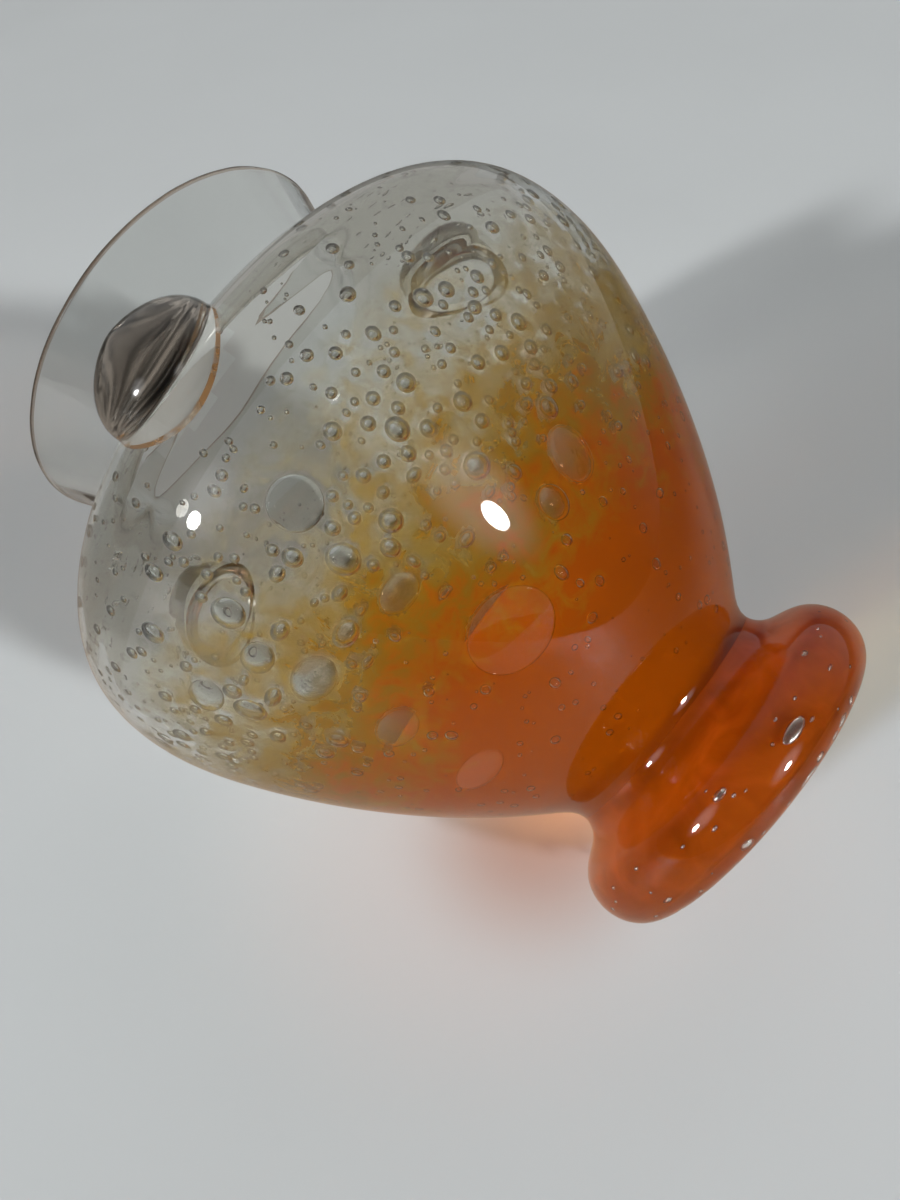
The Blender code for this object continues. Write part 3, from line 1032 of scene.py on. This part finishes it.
class KnobSeat:
    """Where a knob sits on the shoulder, with the outline on which it is fused to the body."""

    def __init__(self, sizes, curve, heading, rise):
        along = curve.along_at_height(between(sizes.shoulder_height, sizes.neck_height, rise))
        axes = curve.wall_axes(along, math.radians(heading), 0.0)
        self.sizes = sizes
        self.curve = curve
        self.seat, self.along_it, self.round_it, self.axis = axes
        self.turns = np.linspace(-math.pi, math.pi, KNOB_FACES + 1)
        self.foot_radii = [self.side_radius(self.contact_height(turn)) for turn in self.turns]

    def place(self, radius, turn, height):
        """A place on the knob, from its own axis."""
        side = math.cos(turn) * self.round_it + math.sin(turn) * self.along_it
        return self.seat + float(radius) * side + float(height) * self.axis

    def side_radius(self, height):
        """Radius of the knob's skirt, under its dome."""
        share = min(max(-height / self.sizes.knob_root_depth, 0.0), 1.0)
        return between(self.sizes.knob_radius, self.sizes.knob_root_radius, math.sin(0.5 * math.pi * share))

    def contact_height(self, turn):
        """Height at which the knob's side meets the body."""
        return self.settle(lambda height: self.place(self.side_radius(height), turn, height))

    def patch_place(self, radius, turn):
        """A place on the body under the knob, with the room of a join."""
        height = self.settle(lambda height: self.place(radius, turn, height))
        return self.place(radius, turn, height + JOINT_SPACE)

    def settle(self, place_at):
        """The height at which a place on the knob lies on the body."""
        low, high = -self.sizes.knob_root_depth, 2.0 * self.sizes.join_gap
        for _ in range(SEAT_HALVINGS):
            middle = 0.5 * (low + high)
            if self.curve.height_over(place_at(middle)) < 0.0:
                low = middle
            else:
                high = middle
        return high

    def reach(self, place):
        """How far a place on the body is outside the knob's outline."""
        offset = place - self.seat
        if offset.dot(self.axis) < -2.0 * self.sizes.knob_radius:
            return offset.length
        across, up = offset.dot(self.round_it), offset.dot(self.along_it)
        outline = float(np.interp(math.atan2(up, across), self.turns, self.foot_radii))
        return math.hypot(across, up) - outline

    def mesh(self):
        """Dome, side and the patch that lies on the body, with a stained ring round the patch."""
        sizes = self.sizes
        turns = [2.0 * math.pi * step / KNOB_FACES - math.pi for step in range(KNOB_FACES)]
        feet = [self.contact_height(turn) for turn in turns]
        rings = [[self.patch_place(0.0, 0.0)]]
        slots = []
        for share in (*np.linspace(0.0, STAIN_FROM, KNOB_ROWS + 1)[1:], 0.5 * (1.0 + STAIN_FROM)):
            rings.append(
                [self.patch_place(share * self.side_radius(foot), turn) for turn, foot in zip(turns, feet)]
            )
            slots.append(JOIN if share <= STAIN_FROM else STAINED)
        slots.append(STAINED)
        for share in np.linspace(0.0, 1.0, KNOB_ROWS + 1):
            ring = []
            for turn, foot in zip(turns, feet):
                height = (foot + JOINT_SPACE) * (1.0 - share)
                ring.append(self.place(self.side_radius(height), turn, height))
            rings.append(ring)
            slots.append(WALL)
        for lean in np.linspace(0.0, 0.5 * math.pi, 2 * KNOB_ROWS + 1)[1:-1]:
            radius = sizes.knob_radius * math.cos(lean) ** sizes.knob_pull
            height = sizes.knob_height * math.sin(lean)
            rings.append([self.place(radius, turn, height) for turn in turns])
            slots.append(WALL)
        rings.append([self.place(0.0, 0.0, sizes.knob_height)])
        form = bmesh.new()
        join_rings(form, [[form.verts.new(place) for place in ring] for ring in rings], slots)
        bmesh.ops.recalc_face_normals(form, faces=form.faces)
        return form


def knob_seats(sizes, curve):
    """The three knobs' seats."""
    return [KnobSeat(sizes, curve, heading, rise) for heading, rise in KNOB_SEATS]


def inside_rows(sizes, rows, floor, bowl_count):
    """Rows down the inside as far as the bowl, and the bowl's rounded rows down to the floor on the axis."""
    rim_height = sizes.cavity_floor + sizes.bowl_depth
    rows = [row for row in rows if row[1] > rim_height]
    radius, height = rows[-1]
    for turn in np.linspace(0.5 * math.pi, 0.0, bowl_count + 1)[1:-1]:
        rows.append((radius * math.sin(turn), height - (height - floor) * math.cos(turn)))
    return [*rows, (0.0, floor)]


class VASE_OT_body(bpy.types.Operator):
    """Clear glass of the body, outside and inside, with the bubbles trapped in it"""

    bl_idname = "vase.body"
    bl_label = "Body glass and bubbles"

    def execute(self, context):
        scene = context.scene
        sizes, colours = scene.vase_sizes, scene.vase_colours
        curve = OutsideCurve(sizes)
        knobs = knob_seats(sizes, curve)
        outside = curve.run(curve.waist, curve.neck, ROW, even(0.0))
        depth = wall_depth(sizes, curve)
        close_from, close_to = curve.colour_end - CLOSE_BELOW, curve.colour_end + CLOSE_ABOVE
        inside = curve.run(curve.waist, close_from, ROW, depth)[:-2]
        inside = inside + curve.run(close_from, close_to, CLOSE_ROW, depth)[:-2]
        inside = (inside + curve.run(close_to, curve.neck, ROW, depth))[::-1]
        inside = inside_rows(sizes, inside, sizes.cavity_floor, BOWL_ROWS)
        profile = [(0.0, sizes.waist_height + JOINT_SPACE), *outside, *inside]
        slots = [JOIN] + [WALL] * (len(outside) - 1) + [JOIN] + [LINING] * (len(inside) - 1)
        edge_height = float(curve.at(curve.colour_end)[0][1])

        def waves(row, place):
            outward = Vector((place.x, place.y, 0.0)).normalized()
            calm = smooth_share(sizes.neck_height - place.z, *NECK_CALM)
            calm = calm * smooth_share(place.z - sizes.waist_height, *WAIST_CALM)
            from_knob = min(knob.reach(place) for knob in knobs)
            if row <= len(outside):
                calm = calm * smooth_share(from_knob, *KNOB_CALM_OUTSIDE)
                return place + noise.noise(place / sizes.wave_length) * sizes.skin_wave * calm * outward
            calm = calm * smooth_share(from_knob, *KNOB_CALM_INSIDE)
            shift = noise.noise(place / sizes.wave_length) * sizes.wave * calm
            slide = sum(share * noise.noise(outward * fineness) for fineness, share in WANDERS)
            slide = sizes.edge_wander * slide * hump(place.z - edge_height, WANDER_ABOVE, WANDER_WIDTH)
            return place + shift * outward + Vector((0.0, 0.0, slide))

        form = turned(profile, BODY_FACES, slots, waves=waves)
        reach = form.verts.layers.float.new("from_knob")
        for vertex in form.verts:
            vertex[reach] = min(knob.reach(vertex.co) for knob in knobs)
        form.faces.ensure_lookup_table()
        for face in form.faces[BODY_FACES : BODY_FACES * len(outside)]:
            values = [vertex[reach] for vertex in face.verts]
            if max(values) < 0.0:
                face.material_index = JOIN
            elif min(values) < 0.0:
                face.material_index = KNOB_EDGE
            elif min(vertex.co.z for vertex in face.verts) > edge_height:
                face.material_index = LINING
        bubbles = body_bubbles(scene, curve, knobs)
        wall = blown_glass("blown clear glass of the body", colours.clear, BODY_STRAIGHT)
        # The lining's grey tint is partly painted shade of the table seen through the shoulder
        lining = blown_glass("clear glass of the lining and shoulder", colours.shoulder, LINING_STRAIGHT)
        hollow = blown_glass("wall of an air bubble", colours.clear, BUBBLE_STRAIGHT)
        flat = blown_glass("wall of a large flat bubble", colours.clear, FLAT_STRAIGHT, FLAT_BEND)
        for fineness, over, most in FINENESS:
            group = [bubble for bubble in bubbles if over < bubble["width"] <= most]
            slot = FLAT_HOLLOW if fineness == FLAT_FINENESS else HOLLOW
            add_hollows(form, group, fineness, hollow, slot)
        materials = [wall, fused_join(), hollow, under_knob_glass(colours.clear), lining, flat]
        finish_piece(form, "body_glass", materials, "body_casing")
        return {"FINISHED"}


class VASE_OT_colour(bpy.types.Operator):
    """Opal colour that lines the casing, thinned where bubbles push it aside"""

    bl_idname = "vase.colour"
    bl_label = "Colour layer"

    def execute(self, context):
        scene = context.scene
        sizes = scene.vase_sizes
        curve = OutsideCurve(sizes)
        face_depth = casing_depth(sizes, curve, sizes.join_gap)
        back_depth = casing_depth(sizes, curve, sizes.join_gap + FILM_BACK * sizes.colour_wall)
        outside = curve.run(curve.waist, curve.colour_end, FILM_ROW, face_depth)
        inside = curve.run(curve.waist, curve.colour_end, ROW, back_depth)[::-1]
        floor = sizes.cavity_floor - FILM_FLOOR * sizes.colour_wall
        inside = inside_rows(sizes, inside, floor, FILM_BOWL_ROWS)
        profile = [(0.0, sizes.waist_height + 2.0 * JOINT_SPACE), *outside, *inside]
        form = turned(profile, FILM_FACES, [CLOUDY] * (len(profile) - 1))
        for face in form.faces:
            if max(vertex.co.z for vertex in face.verts) < DENSE_BELOW:
                face.material_index = DENSE
        thinned = form.verts.layers.float.new("thinned")
        form.verts.ensure_lookup_table()
        places = np.array([vertex.co for vertex in form.verts])
        amount = np.zeros(len(places))
        for bubble in body_bubbles(scene, curve, knob_seats(sizes, curve)):
            if bubble["width"] <= PUSH_WIDTH:
                continue
            offset = (places - np.array(bubble["centre"])) @ np.array(bubble["axes"])
            half_long, half_wide, _ = bubble["half_size"]
            near = np.abs(offset[:, 2]) < PUSH_NEAR
            far = np.hypot(offset[:, 0] / half_long, offset[:, 1] / half_wide)
            pushed = np.clip((PUSH_EDGE - far[near]) / PUSH_FADE, 0.0, 1.0)
            amount[near] = np.maximum(amount[near], pushed)
        for vertex, value in zip(form.verts, amount):
            vertex[thinned] = PUSH_SHARE * value
        cloudy = opal_colour("cloudy amber powder glass", scene.vase_colours, True)
        dense = opal_colour("dense orange powder glass", scene.vase_colours, False)
        finish_piece(form, "colour_layer", [cloudy, dense], "body_colour_layer")
        return {"FINISHED"}


class VASE_OT_foot(bpy.types.Operator):
    """Clear casing and opal core of the foot, with the air gaps round its edge"""

    bl_idname = "vase.foot"
    bl_label = "Foot"

    def execute(self, context):
        scene = context.scene
        sizes, colours = scene.vase_sizes, scene.vase_colours
        curve = OutsideCurve(sizes)
        outside = curve.run(0.0, curve.waist, CLOSE_ROW, even(0.0))
        top = sizes.waist_height - JOINT_SPACE
        outside[-1] = np.array([outside[-1][0], top])
        profile = [(0.0, 0.0), *outside, (0.0, top)]
        form = turned(profile, BODY_FACES, [WALL] * len(outside) + [JOIN])
        hollow = silvery_gap(colours.clear)
        add_hollows(form, foot_gaps(scene.vase_bubbles, curve), FOOT_FINENESS, hollow, HOLLOW)
        wall = blown_glass("blown clear glass of the foot", colours.clear, BODY_STRAIGHT)
        finish_piece(form, "foot_glass", [wall, fused_join(), hollow], "foot_casing")

        inner = curve.run(0.0, curve.waist, CLOSE_ROW, even(sizes.foot_wall + sizes.join_gap))
        floor = sizes.foot_base_wall + sizes.join_gap
        inner = [row for row in inner if row[1] > floor + sizes.join_gap]
        top = sizes.waist_height - 2.0 * JOINT_SPACE
        inner[-1] = np.array([inner[-1][0], top])
        profile = [(0.0, floor), (inner[0][0], floor), *inner, (0.0, top)]
        form = turned(profile, BODY_FACES, [WALL] * (len(profile) - 1))
        finish_piece(form, "foot_core_glass", [orange_core(colours)], "foot_core")
        return {"FINISHED"}


class VASE_OT_collar(bpy.types.Operator):
    """Clear neck and flared mouth"""

    bl_idname = "vase.collar"
    bl_label = "Collar"

    def execute(self, context):
        scene = context.scene
        sizes, colours = scene.vase_sizes, scene.vase_colours
        curve = OutsideCurve(sizes)
        outside = curve.run(curve.neck, curve.lip, CLOSE_ROW, even(0.0))
        inside = curve.run(curve.neck, curve.lip, CLOSE_ROW, even(sizes.collar_wall))[::-1]
        centre = 0.5 * (outside[-1] + inside[0])
        across = outside[-1] - centre
        along = np.array([-across[1], across[0]])
        lip = []
        for turn in np.linspace(0.0, math.pi, LIP_ROWS + 1)[1:-1]:
            lip.append(centre + across * math.cos(turn) + along * math.sin(turn))
        profile = [*outside, *lip, *inside]
        slots = [WALL] * len(outside) + [LIP_EDGE] * (len(lip) - 1) + [WALL] * len(inside) + [JOIN]

        def cords(row, place):
            outward = Vector((place.x, place.y, 0.0)).normalized()
            calm = smooth_share(place.z - sizes.neck_height, *COLLAR_CALM)
            lean = Vector((0.0, 0.0, CORD_LEAN * place.z / sizes.wave_length))
            ripple = sum(share * noise.noise(outward * fineness + lean) for fineness, share in CORDS)
            return place + ripple * sizes.cord * calm * (1.0 if row < len(outside) else -1.0) * outward

        form = turned(profile, COLLAR_FACES, slots, closed=True, waves=cords)
        # The collar's grey tint is partly painted shade of the table seen through it
        wall = blown_glass("blown clear glass of the collar", colours.collar, COLLAR_STRAIGHT)
        edge = blown_glass("smoky fire-polished lip", colours.lip, LIP_STRAIGHT)
        finish_piece(form, "collar_glass", [wall, fused_join(), edge], "collar")
        return {"FINISHED"}


class VASE_OT_knobs(bpy.types.Operator):
    """Domed knobs fused to the shoulder"""

    bl_idname = "vase.knobs"
    bl_label = "Knobs"

    def execute(self, context):
        sizes, colours = context.scene.vase_sizes, context.scene.vase_colours
        glass = blown_glass("solid clear glass of the knobs", colours.knob, KNOB_STRAIGHT, haze=KNOB_HAZE)
        materials = [glass, fused_join(), knob_stain(colours)]
        for order, knob in enumerate(knob_seats(sizes, OutsideCurve(sizes)), start=1):
            name = f"knob_{order}"
            finish_piece(knob.mesh(), f"{name}_glass", materials, name)
        return {"FINISHED"}


def glass_paths(tree, path):
    """Two numbers about a ray: whether it comes from glass, and whether it met a matt thing before that."""
    by_glass = add_node(
        tree,
        "ShaderNodeMath",
        {"operation": "ADD"},
        {0: path.outputs["Is Glossy Ray"], 1: path.outputs["Is Transmission Ray"]},
    )
    again = add_node(
        tree,
        "ShaderNodeMath",
        {"operation": "MULTIPLY", "use_clamp": True},
        {0: path.outputs["Diffuse Depth"], 1: by_glass},
    )
    return by_glass, again


class VASE_OT_stage(bpy.types.Operator):
    """Camera, pale table, dim room and lamps"""

    bl_idname = "vase.stage"
    bl_label = "Stage"

    def execute(self, context):
        scene = context.scene
        stage = scene.vase_stage
        scene.view_settings.view_transform = "Standard"
        scene.cycles.max_bounces = 28
        scene.cycles.transmission_bounces = 28
        scene.cycles.glossy_bounces = 8
        scene.cycles.transparent_max_bounces = 48

        lens = bpy.data.cameras.new("camera")
        lens.sensor_fit = "VERTICAL"
        lens.sensor_height = SENSOR
        lens.lens = SENSOR * FOCAL_PIXELS / PICTURE[1]
        lens.clip_start = 0.01
        camera = bpy.data.objects.new("camera", lens)
        camera.location = stage.camera_place
        camera.rotation_euler = stage.camera_turn
        scene.collection.objects.link(camera)
        scene.camera = camera

        heading, level = stage.table_heading, math.cos(stage.table_tilt)
        up = Vector((level * math.sin(heading), -level * math.cos(heading), math.sin(stage.table_tilt)))
        right = Vector((1.0, 0.0, 0.0))
        right.rotate(camera.rotation_euler)
        right = (right - right.dot(up) * up).normalized()
        away = up.cross(right)
        curve = OutsideCurve(scene.vase_sizes)
        lowest = math.inf
        for along in np.linspace(0.0, curve.lip, SURFACE_ROWS):
            radius, height = (float(value) for value in curve.at(along)[0])
            lowest = min(lowest, height * up.z - radius * level)
        centre = 0.5 * (Vector(cad_box[0]) + Vector(cad_box[1]))
        foot = centre + (lowest - centre.dot(up)) * up
        side = up.cross(Vector((0.0, 0.0, 1.0))).normalized()
        if side.dot(away) > 0.0:
            side = -side
        # Centres of the painted glow spots and of the painted shade spot on the table, with reach and
        # strength
        glows = []
        for rise, offset, reach, strength in (*PAINTED_GLOW_SPOTS, PAINTED_SHADE_SPOT):
            under = Vector((0.0, 0.0, rise))
            glows.append((under + (lowest - under.dot(up)) * up + offset * side, reach, strength))
        self.table(scene, stage, foot, right, away, glows)
        self.lamps(scene, stage, foot, right, away, up)
        self.room(scene, stage, away)
        return {"FINISHED"}

    def table(self, scene, stage, foot, right, away, glows):
        """A pale matt table top, seen from above only, with painted warm glow and shade under the vase."""
        half = 0.5 * stage.table_size
        corners = []
        for across, along in ((-half, -half), (half, -half), (half, half), (-half, half)):
            corners.append(foot + across * right + along * away)
        mesh = bpy.data.meshes.new("table")
        mesh.from_pydata(corners, [], [(0, 1, 2, 3)])
        table = bpy.data.objects.new("table", mesh)
        scene.collection.objects.link(table)
        mesh.materials.append(self.laminate(stage, foot, glows))

    def laminate(self, stage, foot, glows):
        """Matt white laminate with very faint clouds, which reads as an even pale grey in this light.

        What the outside of the glass mirrors of it is a warmer grey that fades into the dark of the room.
        """
        material, tree = new_material("matt white laminate")
        place = add_node(tree, "ShaderNodeTexCoord")
        cloud = add_node(
            tree,
            "ShaderNodeTexNoise",
            inputs={"Vector": place.outputs["Object"], "Scale": pattern_scale(TABLE_MM), "Detail": 2.0},
        )
        colours = {"data_type": "RGBA"}
        pale = tuple(stage.table)
        shade = tuple(TABLE_CLOUD * channel for channel in pale[:3]) + (1.0,)
        paint = add_node(tree, "ShaderNodeMix", colours, {0: cloud.outputs["Fac"], 6: shade, 7: pale})
        # The painted glow spots, and the share of the painted shade by the waist
        *lights, warm = (self.spot(tree, place, *glow) for glow in glows)
        painted_warm_shade = tuple(stage.painted_warm_shade)
        seen = add_node(tree, "ShaderNodeMix", colours, {0: warm, 6: paint.outputs[2], 7: painted_warm_shade})
        path = add_node(tree, "ShaderNodeLightPath")
        outer = add_node(
            tree,
            "ShaderNodeMath",
            {"operation": "SUBTRACT", "use_clamp": True},
            {0: path.outputs["Is Glossy Ray"], 1: path.outputs["Transmission Depth"]},
        )
        # Painted reflection: near the vase the glass mirrors a warmer grey, further out the room's dark
        near = self.spot(tree, place, foot, MIRROR_REACH, 1.0)
        painted_reflection = {0: near, 6: tuple(stage.room), 7: tuple(stage.painted_reflection)}
        far_off = add_node(tree, "ShaderNodeMix", colours, painted_reflection)
        either = {0: outer, 6: seen.outputs[2], 7: far_off.outputs[2]}
        top_colour = add_node(tree, "ShaderNodeMix", colours, either)
        # The painted glow spots summed into the table's emission strength
        light = add_node(tree, "ShaderNodeMath", {"operation": "ADD"}, dict(enumerate(lights)))
        top = add_node(
            tree,
            "ShaderNodeBsdfPrincipled",
            inputs={
                "Base Color": top_colour.outputs[2],
                "Roughness": 0.6,
                "Specular IOR Level": 0.2,
                "Emission Color": tuple(stage.glow),
                "Emission Strength": light,
            },
        )
        side = add_node(tree, "ShaderNodeNewGeometry")
        under = add_node(tree, "ShaderNodeBsdfTransparent")
        both = add_node(tree, "ShaderNodeMixShader", inputs={0: side.outputs["Backfacing"], 1: top, 2: under})
        add_node(tree, "ShaderNodeOutputMaterial", inputs={"Surface": both})
        return material

    def spot(self, tree, place, centre, reach, strength):
        """A round patch that fades out from its centre."""
        ends = {0: place.outputs["Object"], 1: centre}
        far = add_node(tree, "ShaderNodeVectorMath", {"operation": "DISTANCE"}, ends).outputs["Value"]
        return add_node(
            tree,
            "ShaderNodeMapRange",
            {"interpolation_type": "SMOOTHERSTEP"},
            {"Value": far, "From Min": 0.0, "From Max": reach, "To Min": strength, "To Max": 0.0},
        )

    def lamps(self, scene, stage, foot, right, away, up):
        """A lamp and a faint window on each side behind the camera, and a soft light beyond the table."""
        kinds = {
            "lamp": (stage.lamp_size, stage.lamp_power),
            "window": (stage.window_size, stage.window_power),
            "light": (stage.back_size, stage.back_power),
        }
        for name, angles in LIGHTS.items():
            turn, rise = (math.radians(angle) for angle in angles)
            flat = math.cos(rise)
            toward = flat * math.sin(turn) * right + flat * math.cos(turn) * away + math.sin(rise) * up
            kind = name.split()[-1]
            light = bpy.data.lights.new(name, "AREA")
            light.shape = "SQUARE"
            light.size, light.energy = kinds[kind]
            if kind != "light":
                self.soften(light)
            lamp = bpy.data.objects.new(name, light)
            lamp.location = foot + stage.lamp_distance * toward
            lamp.rotation_euler = toward.to_track_quat("Z", "Y").to_euler()
            scene.collection.objects.link(lamp)
            lamp.visible_glossy = kind != "light"
            lamp.visible_transmission = kind == "lamp"

    def soften(self, light):
        """Lets a lamp fade towards its edges, so that glass mirrors a soft patch.

        What the table gets of it through glass is counted once, as the glass lets it straight on.
        """
        light.use_nodes = True
        tree = light.node_tree
        tree.nodes.clear()
        face = add_node(tree, "ShaderNodeNewGeometry")
        ends = {0: face.outputs["Parametric"], 1: (0.5, 0.5, 0.0)}
        offset = add_node(tree, "ShaderNodeVectorMath", {"operation": "DISTANCE"}, ends).outputs["Value"]
        start, end = LAMP_FADE
        fade = add_node(
            tree,
            "ShaderNodeMapRange",
            {"interpolation_type": "SMOOTHSTEP"},
            {"Value": offset, "From Min": start, "From Max": end, "To Min": LAMP_MIDDLE, "To Max": 0.0},
        )
        again = glass_paths(tree, add_node(tree, "ShaderNodeLightPath"))[1]
        once = add_node(tree, "ShaderNodeMath", {"operation": "SUBTRACT"}, {0: 1.0, 1: again})
        strength = add_node(tree, "ShaderNodeMath", {"operation": "MULTIPLY"}, {0: fade, 1: once})
        glow = add_node(tree, "ShaderNodeEmission", inputs={"Strength": strength})
        add_node(tree, "ShaderNodeOutputLight", inputs={"Surface": glow})

    def room(self, scene, stage, away):
        """A room, dark behind the camera and pale beyond the table, that the camera sees as plain."""
        world = bpy.data.worlds.new("room")
        world.use_nodes = True
        tree = world.node_tree
        tree.nodes.clear()
        path = add_node(tree, "ShaderNodeLightPath")
        by_glass, again = glass_paths(tree, path)
        look = add_node(tree, "ShaderNodeTexCoord")
        ways = {0: look.outputs["Generated"], 1: away}
        beyond = add_node(tree, "ShaderNodeVectorMath", {"operation": "DOT_PRODUCT"}, ways).outputs["Value"]
        dark_to, pale_from = PALE_RANGE
        pale_side = add_node(
            tree,
            "ShaderNodeMapRange",
            {"interpolation_type": "SMOOTHSTEP"},
            {"Value": beyond, "From Min": dark_to, "From Max": pale_from, "To Min": 0.0, "To Max": 1.0},
        )
        lit = add_node(
            tree,
            "ShaderNodeMath",
            {"operation": "SUBTRACT", "use_clamp": True},
            {0: pale_side, 1: again},
        )
        shade = add_node(
            tree,
            "ShaderNodeMix",
            {"data_type": "RGBA"},
            {0: lit, 6: tuple(stage.room), 7: tuple(stage.walls)},
        )
        share = add_node(
            tree,
            "ShaderNodeMapRange",
            inputs={"Value": by_glass, "To Min": stage.room_light, "To Max": 1.0},
        )
        dim = add_node(tree, "ShaderNodeBackground", inputs={"Color": shade.outputs[2], "Strength": share})
        plain = add_node(tree, "ShaderNodeBackground", inputs={"Color": tuple(stage.table), "Strength": 1.0})
        bounces = add_node(
            tree,
            "ShaderNodeMath",
            {"operation": "ADD"},
            {0: path.outputs["Glossy Depth"], 1: path.outputs["Diffuse Depth"]},
        )
        straight = add_node(tree, "ShaderNodeMath", {"operation": "LESS_THAN"}, {0: bounces, 1: 0.5})
        through = add_node(
            tree,
            "ShaderNodeMath",
            {"operation": "MULTIPLY"},
            {0: path.outputs["Is Transmission Ray"], 1: straight},
        )
        seen = add_node(
            tree,
            "ShaderNodeMath",
            {"operation": "MAXIMUM"},
            {0: path.outputs["Is Camera Ray"], 1: through},
        )
        both = add_node(tree, "ShaderNodeMixShader", inputs={0: seen, 1: dim, 2: plain})
        add_node(tree, "ShaderNodeOutputWorld", inputs={"Surface": both})
        scene.world = world


class VASE_PT_panel(bpy.types.Panel):
    """Sizes, colours and pieces of the vase"""

    bl_idname = "VASE_PT_panel"
    bl_label = "Footed glass vase"
    bl_space_type = "VIEW_3D"
    bl_region_type = "UI"
    bl_category = "Vase"

    def draw(self, context):
        layout = self.layout
        for group in GROUPS:
            settings = getattr(context.scene, group)
            column = layout.column()
            for name in settings.__annotations__:
                column.prop(settings, name)
        for operator in OPERATORS:
            layout.operator(operator.bl_idname)


GROUPS = {
    "vase_sizes": VaseSizes,
    "vase_bubbles": BubbleSizes,
    "vase_colours": GlassColours,
    "vase_stage": StageSettings,
}
OPERATORS = (VASE_OT_stage, VASE_OT_body, VASE_OT_colour, VASE_OT_foot, VASE_OT_collar, VASE_OT_knobs)


def register():
    """Registers the settings, the operators and the panel."""
    for name, group in GROUPS.items():
        bpy.utils.register_class(group)
        setattr(bpy.types.Scene, name, PointerProperty(type=group))
    for operator in OPERATORS:
        bpy.utils.register_class(operator)
    bpy.utils.register_class(VASE_PT_panel)


def unregister():
    """Takes the settings, the operators and the panel away again."""
    bpy.utils.unregister_class(VASE_PT_panel)
    for operator in reversed(OPERATORS):
        bpy.utils.unregister_class(operator)
    for name, group in GROUPS.items():
        delattr(bpy.types.Scene, name)
        bpy.utils.unregister_class(group)


def main():
    """Builds the pieces and the stage."""
    register()
    bpy.ops.vase.stage()
    bpy.ops.vase.body()
    bpy.ops.vase.colour()
    bpy.ops.vase.foot()
    bpy.ops.vase.collar()
    bpy.ops.vase.knobs()
    bpy.context.view_layer.update()


if __name__ == "__main__":
    main()
